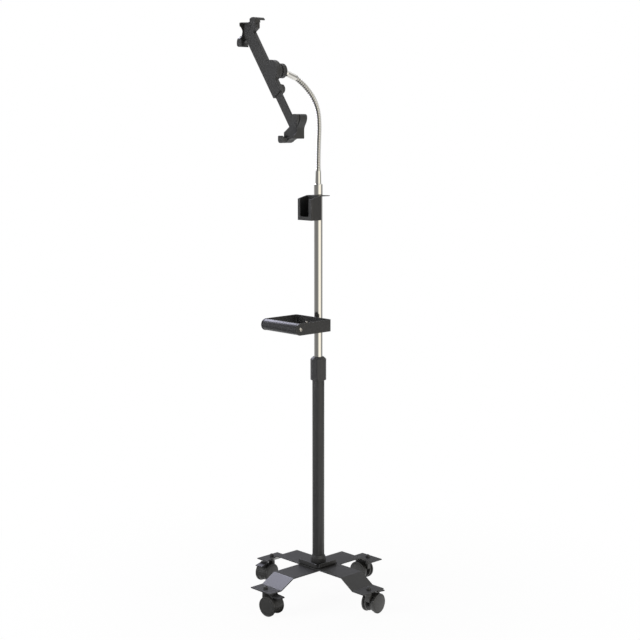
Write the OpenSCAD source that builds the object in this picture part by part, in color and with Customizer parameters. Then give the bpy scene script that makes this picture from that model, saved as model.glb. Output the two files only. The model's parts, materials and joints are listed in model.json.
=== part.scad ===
// Adjustable floor stand with a diagonal corner-grip device holder.
// A crossed sheet-steel base runs on four twin-wheel casters and carries a telescopic post with a
// push handle, an open pocket and a ribbed gooseneck. Lengths are in millimetres.
// The floor is z = 0, the post stands on the origin and the holder faces -Y.

/* [Base] */
// Width of each of the two crossed strips
strip_w = 66; // [56:1:90]
// Sheet thickness of the strips and of the centre plate
strip_t = 2.5; // [2:0.1:4]
// Half length of the raised deck of a strip
deck_r = 110; // [90:1:140]
// Horizontal run of the sloped part of a leg
slope_run = 36.6; // [25:0.1:60]
// Length of the flat flange over each caster
flange_l = 35.4; // [30:0.1:50]
// Rise of the upper strip's deck over its flanges
deck_rise = 22.6; // [15:0.1:40]
// Inner radius of the sheet bends
bend_r = 3; // [1:0.5:5]
// Height of the centre plate's two lips over its face
lip_h = 8.5; // [6:0.5:15]
// Distance from the outer end of a lip to the corner of the plate
lip_inset = 6; // [5:0.5:12]
// Distance from the tip of a leg to its caster stem
stem_inset = 16; // [12:0.5:20]

/* [Casters] */
// Wheel diameter
wheel_d = 46; // [42:1:60]
// Width of one wheel
wheel_w = 12.2; // [10:0.1:18]
// Width of the rim that stands outside the fender
rim_w = 5.5; // [4:0.1:7]
// Thickness of the hood's web between the two wheels
hood_web = 12; // [12:0.2:16]
// Wall thickness of the fender
fender_t = 2; // [1.5:0.1:3]
// Horizontal distance from the stem to the axle
caster_trail = 18; // [16:0.5:22]
// Turn of the casters about their stems as shown
caster_turn = 8; // [0:1:30]
// Diameter of the hood's neck round the stem
neck_boss_d = 15; // [13:0.5:18]
// Height of the neck over the top of the wheels
neck_boss_h = 8; // [7:0.1:12]
// Diameter of the stem's running part
stem_d = 7; // [6:0.5:8]
// Length of the stem's running part
stem_l = 18.4; // [14:0.1:24]
// Diameter of the stem's threaded part
stem_thread_d = 6; // [5:0.5:6]
// Diameter of the axle
axle_d = 6; // [5:0.5:8]
// Diameter of the domed stem nuts
stem_nut_d = 10; // [9:0.5:13]
// Height of the domed stem nuts
stem_nut_h = 7.6; // [6:0.1:10]
// Reach of the brake pedal beyond its pin
pedal_l = 23; // [18:0.5:28]
// Width of the brake pedal's tread
pedal_w = 20; // [16:1:24]
// Downward slope of the released pedal
pedal_slope = 8; // [0:1:12]

/* [Post] */
// Outer diameter of the lower tube
lower_tube_d = 28; // [26:0.5:32]
// Wall of the lower tube
lower_tube_wall = 1.5; // [1.2:0.1:1.8]
// Length of the lower tube
lower_tube_l = 457.5; // [420:0.5:560]
// Diameter of the foot that holds the lower tube
foot_d = 36; // [35:0.5:44]
// Height of the foot over the centre plate
foot_h = 20; // [16:0.5:40]
// Height of the foot's chamfer
foot_chamfer = 6; // [3:0.5:8]
// Thread diameter of the bolt through the base
base_bolt_d = 10; // [8:1:12]
// Diameter of the twist-lock collar
collar_d = 36.5; // [36.5:0.5:44]
// Height of the twist-lock collar
collar_h = 54; // [50:1:70]
// Length of the collar below the top of the lower tube
collar_drop = 24; // [20:0.5:28]
// Outer diameter of the upper tube
upper_tube_d = 19; // [17:0.5:19.5]
// Wall of the upper tube
upper_tube_wall = 1.2; // [1:0.1:1.5]
// Length of the upper tube
upper_tube_l = 678; // [640:1:760]
// Length of the upper tube inside the lower tube as shown
insertion = 278.5; // [250:0.5:330]
// Length of the guide bush at the foot of the upper tube
glide_l = 30; // [20:1:40]

/* [Handle] */
// Outer width of the handle bracket
handle_w = 117; // [90:1:150]
// Height of the bracket's plates
handle_h = 27; // [27:0.5:40]
// Thickness of the bracket's sheet
handle_t = 2.5; // [2:0.1:4]
// Distance from the post axis to the grip axis
handle_reach = 110; // [80:1:140]
// Distance from the post axis to the back of the bracket
handle_stand_off = 14; // [13.5:0.5:22]
// Distance from the top of the upper tube down to the grip axis
handle_drop = 289; // [200:1:300]
// Diameter of the grip sleeve
grip_d = 26; // [22:0.5:26.5]
// Diameter of the bar inside the sleeve
grip_bar_d = 14; // [10:0.5:18]
// Distance between the two clamp screws
clamp_span = 46; // [40:1:60]
// Height of the clamp strap
strap_h = 18; // [14:0.5:24]

/* [Pocket] */
// Outer width of the pocket
pocket_w = 47; // [40:1:70]
// Depth of the pocket from front to back
pocket_depth = 31; // [24:1:50]
// Height of the pocket at its back
pocket_h = 55; // [40:1:80]
// Drop of the pocket's front edge below its back edge
pocket_front_drop = 7; // [3:0.5:12]
// Wall of the pocket
pocket_wall = 1.6; // [1.2:0.1:3]
// Outer radius of the pocket's front bends
pocket_r = 3; // [2:0.5:5]
// Distance from the post axis to the back of the pocket
pocket_stand_off = 12.5; // [11:0.5:18]
// Reach of the top plate behind the post axis
plate_back = 14; // [12:0.5:20]
// Width of the posts that flank the front cut-out
pocket_post_w = 9.5; // [6:0.5:12]
// Height of the sill under the front cut-out
pocket_sill = 8; // [6:0.5:14]

/* [Gooseneck] */
// Diameter over the ribs
hose_d = 11.6; // [10.6:0.1:12.4]
// Depth of the valleys between the ribs
rib_depth = 1.7; // [1:0.1:2]
// Length of one rib and valley
rib_pitch = 5.8; // [5.4:0.1:6.6]
// Ribs in one link
ribs_per_link = 5; // [4:1:6]
// Bore of the hose
hose_bore = 4.6; // [3.6:0.2:5]
// Diameter of the connector on the post
connector_d = 19.5; // [18.5:0.5:22]
// Height of the connector
connector_h = 26; // [20:0.5:34]
// Height of the tapered ferrule over the connector
ferrule_h = 30; // [25:0.5:45]
// Diameter of the ferrule at its foot
ferrule_d = 13.4; // [12.6:0.2:15]
// Distance from the last link to the centre of the ball
ball_reach = 48; // [40:1:56]
// Diameter of the ball
ball_d = 16; // [15:0.5:18]

/* [Holder] */
// Width of the device that the grips are set to
device_w = 171; // [150:1:190]
// Height of the device that the grips are set to
device_h = 245; // [220:1:270]
// Thickness of the device that the grips are set to
device_t = 7; // [6:0.5:10]
// Height of the hub over the middle of the device
hub_rise = 20; // [10:1:30]
// Diameter of the hub plate
hub_d = 46; // [40:1:56]
// Thickness of the hub plate
hub_t = 6; // [5:0.5:9]
// Width of the diagonal arm
arm_w = 30; // [27:0.5:40]
// Depth of the diagonal arm
arm_t = 9; // [8.5:0.5:12]
// Wall of the arm round the sliding bar
arm_wall = 2.5; // [2:0.1:3]
// Length of a grip's wings along the device's edges
wing_l = 49; // [46:1:60]
// Thickness of a wing at its corner
wing_t = 3.4; // [3:0.2:5]
// Outward flare of a wing at its end
wing_flare = 9.5; // [7:0.5:13]
// Radius of the rounded outer corner at a wing's end
wing_end_r = 6; // [3:0.5:8]
// Depth of a wing behind the back of the device
wing_depth = 19; // [14:0.5:22]
// Thickness of the lip over the front of the device
lip_t = 2.8; // [2:0.2:4]
// Reach of the lip over the front of the device
lip_reach = 3; // [2:0.2:5]
// Diameter of the clamp knob
knob_d = 22; // [18:0.5:26]
// Height of the clamp knob
knob_h = 13; // [10:0.5:16]

/* [Fits] */
// Radial clearance of a running or seated round fit
run_fit = 0.05; // [0.02:0.01:0.1]
// Clearance between pieces that move past each other
part_gap = 0.3; // [0.25:0.05:0.4]

/* [Hidden] */
$fn = 48;
bend_steps = 5;
black_steel = "#3b3b3d";
black_plastic = "#2b2b2c";
dark_rubber = "#232324";
chrome_steel = "#c9c8c4";

// Heights of the casters, the base and the post
wheel_r = wheel_d / 2;
hood_top = wheel_d + neck_boss_h;
swivel_gap = 0.4;
flange_z = hood_top + swivel_gap;
deck_z = flange_z + strip_t + deck_rise;
plate_z = deck_z + strip_t;
tip_r = deck_r + slope_run + flange_l;
stem_r = tip_r - stem_inset;
foot_floor = 5;
tube_z = plate_z + foot_floor;
tube_top = tube_z + lower_tube_l;
mast_z = tube_top - insertion;
mast_top = mast_z + upper_tube_l;

// Gooseneck: heading of each link from the vertical towards the front, and the joints between them
neck_headings = [0, -2, -3, 0, 13, 34, 47, 57, 72];
neck_links = len(neck_headings) - 1;
link_l = ribs_per_link * rib_pitch;
connector_z = mast_top + pocket_wall;
neck_z = connector_z + connector_h + ferrule_h;
function heading_step(a) = [sin(a), cos(a)];
function neck_joint(k) =
    k == 0 ? [0, neck_z] : neck_joint(k - 1) + link_l * heading_step(neck_headings[k - 1]);
neck_end = neck_joint(neck_links);
ball_at = neck_end + ball_reach * heading_step(neck_headings[neck_links]);
hose_r = hose_d / 2;
joint_ball_r = hose_r - rib_depth + 0.5;
socket_start = 1.5;

// Holder: depths are measured forward from the middle of the ball
ball_r = ball_d / 2;
socket_r = ball_r + 5;
screw_head_t = 2.4;
screw_head_r = ball_r - 2;
pivot_r = 3;
socket_wall = 5;
head_start = ball_r + 1;
socket_front = head_start + screw_head_t + 2 * part_gap + socket_wall;
socket_back = 3;
hub_start = socket_front + part_gap;
arm_start = hub_start + hub_t;
arm_end = arm_start + arm_t;
pad_t = 1;
device_back = arm_end + pad_t;
device_front = device_back + device_t;
lip_start = device_front + part_gap;
grip_front = lip_start + lip_t;
device_z = ball_at[1] - hub_rise;
diagonal = sqrt(device_w * device_w + device_h * device_h);
diagonal_angle = atan2(device_h, device_w);
hub_u = -hub_rise * sin(diagonal_angle);
hub_v = hub_rise * cos(diagonal_angle);
grip_floor_l = 32;
arm_root = -diagonal / 2 + grip_floor_l;
arm_tip = 38;
knob_u = arm_tip - knob_d / 2 - 3;
tongue_l = 11;
bar_w = arm_w - 2 * arm_wall - 4;
bar_t = arm_t - 2 * arm_wall;
bar_inner_u = -40;

// Outline of a bent sheet that follows a path of bend points, with true bend radii
function unit(a) = [cos(a), sin(a)];
function normal(a) = [-sin(a), cos(a)];
function course(p, q) = atan2(q[1] - p[1], q[0] - p[0]);
function bend(v, a, b, r, side) =
    let (turn = b > a ? 1 : -1, centre = v - r * tan(abs(b - a) / 2) * unit(a) + turn * r * normal(a))
    [for (i = [0:bend_steps]) centre - turn * (r - turn * side) * normal(a + (b - a) * i / bend_steps)];
function sheet_side(path, r, side) =
    let (n = len(path))
    concat(
        [path[0] + side * normal(course(path[0], path[1]))],
        [for (k = [1:n - 2])
            each bend(path[k], course(path[k - 1], path[k]), course(path[k], path[k + 1]), r, side)],
        [path[n - 1] + side * normal(course(path[n - 2], path[n - 1]))]
    );
function reversed(list) = [for (i = [len(list) - 1:-1:0]) list[i]];
function sheet_outline(path, t, inner_r) =
    concat(sheet_side(path, inner_r + t / 2, t / 2), reversed(sheet_side(path, inner_r + t / 2, -t / 2)));

module ring(outer_r, inner_r, h) {
    difference() {
        cylinder(h = h, r = outer_r);
        translate([0, 0, -1]) cylinder(h = h + 2, r = inner_r);
    }
}

module along_x(l, r) {
    rotate([0, 90, 0]) cylinder(h = l, r = r, center = true);
}

module along_y(l, r) {
    rotate([90, 0, 0]) cylinder(h = l, r = r, center = true);
}

module on_each_leg() {
    for (leg = [0:3]) rotate([0, 0, 90 * leg]) translate([0, -stem_r, 0]) children();
}

// Base

module strip(rise) {
    flange_mid = flange_z + strip_t / 2;
    slope_end = deck_r + slope_run;
    right_half = [[deck_r, flange_mid + rise], [slope_end, flange_mid], [tip_r, flange_mid]];
    left_half = [for (p = reversed(right_half)) [-p[0], p[1]]];
    difference() {
        rotate([90, 0, 0]) linear_extrude(strip_w, center = true)
            polygon(sheet_outline(concat(left_half, right_half), strip_t, bend_r));
        cylinder(h = 2 * deck_z, r = base_bolt_d / 2 + run_fit);
        for (side = [-1, 1])
            translate([side * stem_r, 0, 0]) cylinder(h = 2 * deck_z, r = stem_thread_d / 2 + run_fit);
    }
}

module base_upper_strip() {
    color(black_steel) strip(deck_rise);
}

module base_lower_strip() {
    color(black_steel) rotate([0, 0, 90]) strip(deck_rise - strip_t);
}

// An edge of the centre plate bent up into a lip, along -Y
module lipped_edge(from, to) {
    edge = -strip_w / 2 + strip_t / 2;
    mid = deck_z + strip_t / 2;
    translate([from, 0, 0]) rotate([90, 0, 90]) linear_extrude(to - from)
        polygon(sheet_outline([[edge, plate_z + lip_h], [edge, mid], [0, mid]], strip_t, bend_r / 2));
}

module centre_plate() {
    half = strip_w / 2;
    flat_from = -half + strip_t + bend_r / 2;
    color(black_steel) difference() {
        union() {
            translate([-half, flat_from, deck_z]) cube([half - flat_from, strip_w / 2 - flat_from, strip_t]);
            lipped_edge(-half, half - lip_inset);
            rotate([0, 0, 90]) lipped_edge(-half + lip_inset, half - lip_inset);
        }
        cylinder(h = 2 * deck_z, r = base_bolt_d / 2 + run_fit);
    }
}

module base_washer() {
    color(chrome_steel) translate([0, 0, deck_z - 2 * strip_t - 2])
        ring(1.5 * base_bolt_d, base_bolt_d / 2 + run_fit, 2);
}

module base_bolt() {
    head_h = 0.64 * base_bolt_d;
    head_top = deck_z - 2 * strip_t - 2;
    color(chrome_steel) union() {
        translate([0, 0, head_top - head_h]) cylinder(h = head_h, r = 0.96 * base_bolt_d, $fn = 6);
        translate([0, 0, head_top - 1]) cylinder(h = tube_z + 1 - head_top + 1, r = base_bolt_d / 2);
    }
}

module post_foot() {
    tube_r = lower_tube_d / 2 + run_fit;
    foot_r = foot_d / 2;
    color(black_steel) rotate_extrude() polygon([
        [base_bolt_d / 2 + run_fit, plate_z], [foot_r, plate_z],
        [foot_r, plate_z + foot_h - foot_chamfer], [tube_r + 0.4, plate_z + foot_h],
        [tube_r, plate_z + foot_h], [tube_r, tube_z], [base_bolt_d / 2 + run_fit, tube_z]
    ]);
}

module lower_tube() {
    color(black_steel) translate([0, 0, tube_z])
        ring(lower_tube_d / 2, lower_tube_d / 2 - lower_tube_wall, lower_tube_l);
}

// Twist lock on top of the lower tube

lock_seat_h = 8;
bush_wall = 2.2;
bush_r = lower_tube_d / 2 + run_fit + bush_wall;
collet_h = 14;
collet_taper = 2;
collet_foot_r = upper_tube_d / 2 + 4.3;
collar_top = tube_top - collar_drop + collar_h;

module lock_bush() {
    seat_r = upper_tube_d / 2 + 1.5;
    tube_r = lower_tube_d / 2 + run_fit;
    color(black_plastic) rotate_extrude() polygon([
        [tube_r, tube_top - collar_drop + 3], [bush_r, tube_top - collar_drop + 3],
        [bush_r, tube_top + lock_seat_h], [seat_r, tube_top + lock_seat_h],
        [seat_r, tube_top], [tube_r, tube_top]
    ]);
}

module lock_collet() {
    bore_r = upper_tube_d / 2 + run_fit;
    foot_z = tube_top + lock_seat_h;
    color(black_plastic) difference() {
        rotate_extrude() polygon([
            [bore_r, foot_z], [collet_foot_r, foot_z],
            [collet_foot_r - collet_taper, foot_z + collet_h], [bore_r, foot_z + collet_h]
        ]);
        for (a = [0, 120, 240])
            rotate([0, 0, a]) translate([0, -0.75, foot_z + 3]) cube([upper_tube_d, 1.5, collet_h]);
    }
}

module lock_collar() {
    bore_r = bush_r + 2 * run_fit;
    foot_z = tube_top - collar_drop;
    cone_z = tube_top + lock_seat_h + part_gap;
    collar_r = collar_d / 2;
    rim_r = upper_tube_d / 2 + 0.5;
    top_chamfer = 5;
    color(black_plastic) rotate_extrude() polygon([
        [bore_r, foot_z], [collar_r - 1.5, foot_z], [collar_r, foot_z + 1.5],
        [collar_r, collar_top - top_chamfer], [collar_r - top_chamfer, collar_top - 0.6],
        [collar_r - top_chamfer - 0.6, collar_top], [rim_r, collar_top],
        [rim_r, cone_z + collet_h], [collet_foot_r - collet_taper + part_gap, cone_z + collet_h],
        [collet_foot_r + part_gap, cone_z], [bore_r, cone_z]
    ]);
}

// Upper tube and its guide

glide_gap = part_gap;
glide_z = mast_z + 2;
stop_t = 3;

module upper_tube() {
    color(chrome_steel) translate([0, 0, mast_z])
        ring(upper_tube_d / 2, upper_tube_d / 2 - upper_tube_wall, upper_tube_l);
}

module glide_bush() {
    color(black_plastic) translate([0, 0, glide_z])
        ring(lower_tube_d / 2 - lower_tube_wall - run_fit, upper_tube_d / 2 + run_fit, glide_l);
}

module glide_stops() {
    plug_r = upper_tube_d / 2 - upper_tube_wall - run_fit;
    stop_r = upper_tube_d / 2 + 1.6;
    color(dark_rubber) {
        translate([0, 0, mast_z]) cylinder(h = 20, r = plug_r);
        translate([0, 0, mast_z - stop_t]) cylinder(h = stop_t, r = stop_r);
        translate([0, 0, glide_z + glide_l + glide_gap]) ring(stop_r, upper_tube_d / 2 + run_fit, 2);
    }
}

// Push handle

handle_z = mast_top - handle_drop;
clamp_z = handle_z - 2;
clamp_screw_r = 2.5;
plate_front = -handle_stand_off - handle_t;
side_in = handle_w / 2 - handle_t;

module handle_bracket() {
    side_mid = handle_w / 2 - handle_t / 2;
    back_mid = -handle_stand_off - handle_t / 2;
    end_r = handle_h / 2;
    plan = [[-side_mid, -handle_reach - end_r], [-side_mid, back_mid],
            [side_mid, back_mid], [side_mid, -handle_reach - end_r]];
    color(black_steel) translate([0, 0, handle_z]) difference() {
        intersection() {
            linear_extrude(handle_h, center = true) polygon(sheet_outline(plan, handle_t, bend_r));
            union() {
                along_x_at_grip() along_x(handle_w + 2, end_r);
                translate([-handle_w / 2 - 1, -handle_reach, -end_r])
                    cube([handle_w + 2, handle_reach, handle_h]);
            }
        }
        along_x_at_grip() along_x(handle_w + 2, clamp_screw_r + run_fit);
        for (side = [-1, 1]) translate([side * clamp_span / 2, -handle_stand_off, clamp_z - handle_z])
            along_y(4 * handle_t, clamp_screw_r + run_fit);
    }
}

module along_x_at_grip() {
    translate([0, -handle_reach, 0]) children();
}

// Block that fills the space between the bracket and the front of the post
module handle_saddle() {
    saddle_w = upper_tube_d + 6;
    color(black_plastic) translate([0, 0, clamp_z]) difference() {
        translate([-saddle_w / 2, -handle_stand_off, -strap_h / 2])
            cube([saddle_w, handle_stand_off - 2, strap_h]);
        cylinder(h = 2 * strap_h, r = upper_tube_d / 2 + run_fit, center = true);
    }
}

// Strap that passes behind the post, with an ear for each clamp screw
module handle_strap() {
    strap_t = 3;
    ear_r = strap_h / 2;
    inner_r = upper_tube_d / 2 + run_fit;
    outer_r = inner_r + strap_t;
    saddle_r = upper_tube_d / 2 + 3 + part_gap;
    color(black_steel) translate([0, 0, clamp_z]) difference() {
        union() {
            cylinder(h = strap_h, r = outer_r, center = true);
            for (side = [-1, 1]) {
                translate([side * clamp_span / 2, -handle_stand_off + strap_t / 2, 0])
                    along_y(strap_t, ear_r);
                translate([min(side * saddle_r, side * clamp_span / 2), -handle_stand_off, -strap_h / 2])
                    cube([clamp_span / 2 - saddle_r, strap_t, strap_h]);
                translate([side > 0 ? saddle_r : -saddle_r - strap_t, -handle_stand_off, -strap_h / 2])
                    cube([strap_t, handle_stand_off, strap_h]);
                translate([side > 0 ? inner_r : -saddle_r - strap_t, -strap_t, -strap_h / 2])
                    cube([saddle_r + strap_t - inner_r, strap_t, strap_h]);
            }
        }
        cylinder(h = 2 * strap_h, r = inner_r, center = true);
        translate([-saddle_r, -handle_stand_off - 1, -strap_h])
            cube([2 * saddle_r, handle_stand_off - 2 + part_gap + 1, 2 * strap_h]);
        for (side = [-1, 1]) translate([side * clamp_span / 2, -handle_stand_off, 0])
            along_y(4 * strap_t, clamp_screw_r + run_fit);
    }
}

module handle_clamp_screws() {
    shank_back = -handle_stand_off + 7;
    color(chrome_steel) for (side = [-1, 1]) translate([side * clamp_span / 2, 0, clamp_z]) {
        translate([0, plate_front, 0]) rotate([90, 0, 0]) cylinder(h = 2.2, r1 = 4.2, r2 = 2.6);
        translate([0, shank_back, 0]) rotate([90, 0, 0])
            cylinder(h = shank_back - plate_front + 1, r = clamp_screw_r);
    }
}

module grip_bar() {
    color(chrome_steel) translate([0, -handle_reach, handle_z]) difference() {
        along_x(2 * side_in, grip_bar_d / 2);
        along_x(2 * side_in + 2, clamp_screw_r + run_fit);
    }
}

module grip_sleeve() {
    sleeve_r = grip_d / 2;
    half_l = side_in - part_gap;
    color(dark_rubber) translate([0, -handle_reach, handle_z]) rotate([0, 90, 0]) rotate_extrude() polygon([
        [grip_bar_d / 2 + run_fit, -half_l], [sleeve_r - 1, -half_l], [sleeve_r, -half_l + 1],
        [sleeve_r, half_l - 1], [sleeve_r - 1, half_l], [grip_bar_d / 2 + run_fit, half_l]
    ]);
}

module grip_screws() {
    for (side = [-1, 1])
        color(chrome_steel) translate([0, -handle_reach, handle_z]) rotate([0, side * 90, 0]) {
            translate([0, 0, handle_w / 2]) cylinder(h = 2.4, r1 = 4.8, r2 = 3.4);
            translate([0, 0, handle_w / 2 - 16]) cylinder(h = 17, r = clamp_screw_r);
        }
}

// Pocket, with the top plate that is held between the upper tube and the gooseneck

// Plan of the pocket inside a given inset from its outside, up to a given back
module pocket_plan(inset, back) {
    half_w = pocket_w / 2 - inset;
    bend = pocket_r - inset;
    front = -pocket_stand_off - pocket_depth + inset;
    translate([-half_w, front + bend]) square([2 * half_w, back - front - bend]);
    translate([-half_w + bend, front]) square([2 * (half_w - bend), 2 * bend]);
    for (side = [-1, 1]) translate([side * (half_w - bend), front + bend]) circle(r = bend);
}

module pocket() {
    back = -pocket_stand_off;
    front = back - pocket_depth;
    floor_z = mast_top + pocket_wall - pocket_h;
    cut_w = pocket_w - 2 * pocket_post_w;
    cut_r = 4;
    back_z = mast_top + pocket_wall;
    front_z = back_z - pocket_front_drop;
    sill_z = floor_z + pocket_sill;
    color(black_steel) difference() {
        union() {
            intersection() {
                rotate([90, 0, 90]) linear_extrude(2 * pocket_w, center = true) polygon([
                    [back, floor_z], [back, back_z], [back - pocket_wall, back_z],
                    [front - 1, front_z - pocket_front_drop / (pocket_depth - pocket_wall)],
                    [front - 1, floor_z]
                ]);
                translate([0, 0, floor_z - 1]) linear_extrude(pocket_h + 2) pocket_plan(0, back + 1);
            }
            translate([-pocket_w / 2, back - pocket_wall, mast_top])
                cube([pocket_w, plate_back - back + pocket_wall, pocket_wall]);
        }
        translate([0, 0, floor_z + pocket_wall]) linear_extrude(2 * pocket_h)
            pocket_plan(pocket_wall, back - pocket_wall);
        translate([0, front, 0]) rotate([90, 0, 0]) linear_extrude(3 * pocket_wall, center = true) {
            translate([-cut_w / 2, sill_z + cut_r]) square([cut_w, pocket_h]);
            translate([-cut_w / 2 + cut_r, sill_z]) square([cut_w - 2 * cut_r, pocket_h]);
            for (side = [-1, 1]) translate([side * (cut_w / 2 - cut_r), sill_z + cut_r]) circle(r = cut_r);
        }
        translate([0, 0, mast_top - 1]) cylinder(h = pocket_wall + 2, r = spigot_r + run_fit);
    }
}

// Gooseneck

spigot_r = upper_tube_d / 2 - upper_tube_wall - run_fit;
hose_plug_r = hose_r - rib_depth - 0.6;
hose_plug_l = 12;

module neck_connector() {
    connector_r = connector_d / 2;
    top_z = connector_z + connector_h;
    color(chrome_steel) difference() {
        rotate_extrude() polygon([
            [0, mast_top - 18], [spigot_r, mast_top - 18], [spigot_r, connector_z],
            [connector_r, connector_z], [connector_r, top_z - 2], [connector_r - 2, top_z],
            [ferrule_d / 2, top_z],
            [hose_r + 0.2, neck_z], [0, neck_z]
        ]);
        translate([0, 0, neck_z - hose_plug_l - part_gap])
            cylinder(h = hose_plug_l + 1, r = hose_plug_r + run_fit);
    }
}

// Puts a piece on a link, with the link's lower joint at its origin and its axis along +Z
module on_link(k) {
    at = neck_joint(k);
    translate([0, -at[0], at[1]]) rotate([neck_headings[k], 0, 0]) children();
}

// Ribbed sleeve from one height to another, with the ribs centred on half pitches
module ribbed_sleeve(from, to) {
    root_r = hose_r - rib_depth;
    ribs = [for (k = [0:ribs_per_link - 1]) (k + 0.5) * rib_pitch];
    crest = 0.2 * rib_pitch;
    flank = 0.13 * rib_pitch;
    top_ribs = [for (s = ribs) each [
        [root_r, s - crest - flank], [hose_r, s - crest], [hose_r, s + crest], [root_r, s + crest + flank]
    ]];
    intersection() {
        rotate_extrude() polygon(concat([[0, -1], [root_r, -1]], top_ribs, [[root_r, link_l], [0, link_l]]));
        translate([0, 0, from]) cylinder(h = to - from, r = 2 * hose_r);
    }
}

// One stretch of the hose: a ball at its upper end turns in the cup of the next stretch
module gooseneck(k) {
    first = k == 1;
    color(chrome_steel) on_link(k - 1) difference() {
        union() {
            ribbed_sleeve(first ? 0 : socket_start, link_l);
            translate([0, 0, link_l]) sphere(r = joint_ball_r);
            if (first) translate([0, 0, -hose_plug_l]) cylinder(h = hose_plug_l + 1, r = hose_plug_r);
        }
        if (!first) sphere(r = joint_ball_r + part_gap);
        translate([0, 0, -2 * hose_plug_l]) cylinder(h = 2 * link_l + 2 * hose_plug_l, r = hose_bore / 2);
    }
}

stud_neck_r = 3;
end_ferrule_l = ball_reach - ball_r - 5;

module neck_end_ferrule() {
    color(chrome_steel) on_link(neck_links) difference() {
        rotate_extrude() polygon([
            [0, socket_start], [hose_r, socket_start], [hose_r + 0.6, socket_start + 4],
            [hose_r + 0.6, end_ferrule_l - 3], [stud_neck_r + 1.5, end_ferrule_l], [0, end_ferrule_l]
        ]);
        sphere(r = joint_ball_r + part_gap);
        translate([0, 0, end_ferrule_l - 8]) cylinder(h = 9, r = stud_neck_r + run_fit);
    }
}

module ball_stud() {
    color(chrome_steel) on_link(neck_links) union() {
        translate([0, 0, ball_reach]) sphere(r = ball_r);
        translate([0, 0, end_ferrule_l - 8 + part_gap])
            cylinder(h = ball_reach - end_ferrule_l + 4, r = stud_neck_r);
    }
}

// Holder: x to the right, y up from the middle of the ball, z forward from the ball
module holder_frame(z) {
    translate([0, -ball_at[0], z]) rotate([90, 0, 0]) children();
}

module at_ball() {
    holder_frame(ball_at[1]) children();
}

// Frame of the diagonal arm: x runs down to the right along the diagonal from the device's middle
module at_arm() {
    holder_frame(device_z) rotate([0, 0, -diagonal_angle]) children();
}

module ball_socket() {
    head_room_r = screw_head_r + part_gap;
    head_room_end = head_start + screw_head_t + 2 * part_gap;
    thread_r = socket_r - 1.5;
    color(black_plastic) at_ball() difference() {
        rotate_extrude() polygon([
            [0, -socket_back], [thread_r, -socket_back], [thread_r, ball_r], [socket_r + 3, ball_r + 2],
            [socket_r + 3, socket_front], [0, socket_front]
        ]);
        sphere(r = ball_r + run_fit);
        cylinder(h = head_room_end, r = head_room_r);
        translate([0, 0, head_room_end]) cylinder(h = socket_wall + 1, r = pivot_r + run_fit);
    }
}

module ball_lock_nut() {
    thread_r = socket_r - 1.5 + 2 * run_fit;
    nut_r = socket_r + 3;
    nut_back = -socket_back - part_gap - 2;
    nut_front = ball_r - part_gap - 0.5;
    mouth_r = sqrt(ball_r * ball_r - socket_back * socket_back) + 1;
    color(black_plastic) at_ball() difference() {
        rotate_extrude() polygon([
            [mouth_r, nut_back], [nut_r - 1.5, nut_back], [nut_r, nut_back + 1.5], [nut_r, nut_front],
            [thread_r, nut_front], [thread_r, -socket_back - part_gap],
            [mouth_r - 0.6, -socket_back - part_gap]
        ]);
        for (a = [0:30:330])
            rotate([0, 0, a]) translate([nut_r + 1.6, 0, nut_back + 3]) cylinder(h = 2 * ball_d, r = 2.4);
    }
}

module hub_pivot_screw() {
    color(chrome_steel) at_ball() union() {
        translate([0, 0, head_start]) cylinder(h = screw_head_t, r = screw_head_r);
        translate([0, 0, head_start + 1]) cylinder(h = arm_start - head_start - 1, r = pivot_r);
    }
}

module hub_plate() {
    hub_r = hub_d / 2;
    color(black_plastic) at_ball() rotate_extrude() polygon([
        [pivot_r + run_fit, hub_start], [hub_r - 2, hub_start], [hub_r, hub_start + 2],
        [hub_r, arm_start], [pivot_r + run_fit, arm_start]
    ]);
}

// Diagonal arm: a flat channel for the sliding bar, a round pad under the hub and a tongue in the grip
module holder_arm() {
    slot_w = bar_w + 2 * part_gap;
    color(black_plastic) at_arm() difference() {
        union() {
            translate([arm_root, -arm_w / 2, arm_start]) cube([arm_tip - arm_root, arm_w, arm_t]);
            translate([hub_u, hub_v, arm_start]) cylinder(h = arm_t, r = hub_d / 2);
            translate([arm_root - tongue_l, -bar_w / 2, arm_start + arm_wall + part_gap])
                cube([tongue_l + 1, bar_w, bar_t - 2 * part_gap]);
        }
        translate([arm_root + 4, -slot_w / 2, arm_start + arm_wall])
            cube([arm_tip - arm_root, slot_w, bar_t]);
        translate([knob_u, 0, arm_start - 1]) cylinder(h = arm_wall + 2, r = pivot_r + run_fit);
    }
}

module sliding_bar() {
    color(black_plastic) at_arm()
        translate([bar_inner_u, -bar_w / 2, arm_start + arm_wall + part_gap])
            cube([-arm_root + tongue_l - bar_inner_u, bar_w, bar_t - 2 * part_gap]);
}

// Outer edge of a wing at distance s from the corner: flat, then an outward sweep to its end
flare_start = 0.31 * wing_l;
flare_end = 0.82 * wing_l;
function swept(s) = (1 - cos(180 * min(max((s - flare_start) / (flare_end - flare_start), 0), 1))) / 2;
function wing_edge(s) = wing_t + wing_flare * swept(s);
sweep_steps = [for (i = [0:8]) flare_start + (flare_end - flare_start) * i / 8];

jaw_start = 0.62 * wing_l;
edge_gap = 1.4;
corner_r = 2;
wing_back = device_back - wing_depth;
web_back = device_back - 5.5;

// Outer side of a wing along +X, from its rounded corner to its rounded end, with the device at y > 0
function wing_side_points() = concat(
    [for (a = [180:22.5:270]) (corner_r - wing_t) * [1, 1] + corner_r * unit(a)],
    [for (s = sweep_steps) [s, -wing_edge(s)]],
    [for (a = [270:22.5:360]) [wing_l - wing_end_r, wing_end_r - wing_edge(wing_l)] + wing_end_r * unit(a)]
);

// Full section of a wing between the device and its outer side
module jaw_outline() {
    polygon(concat([[-wing_t, -edge_gap]], wing_side_points(), [[wing_l, -edge_gap]]));
}

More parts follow.
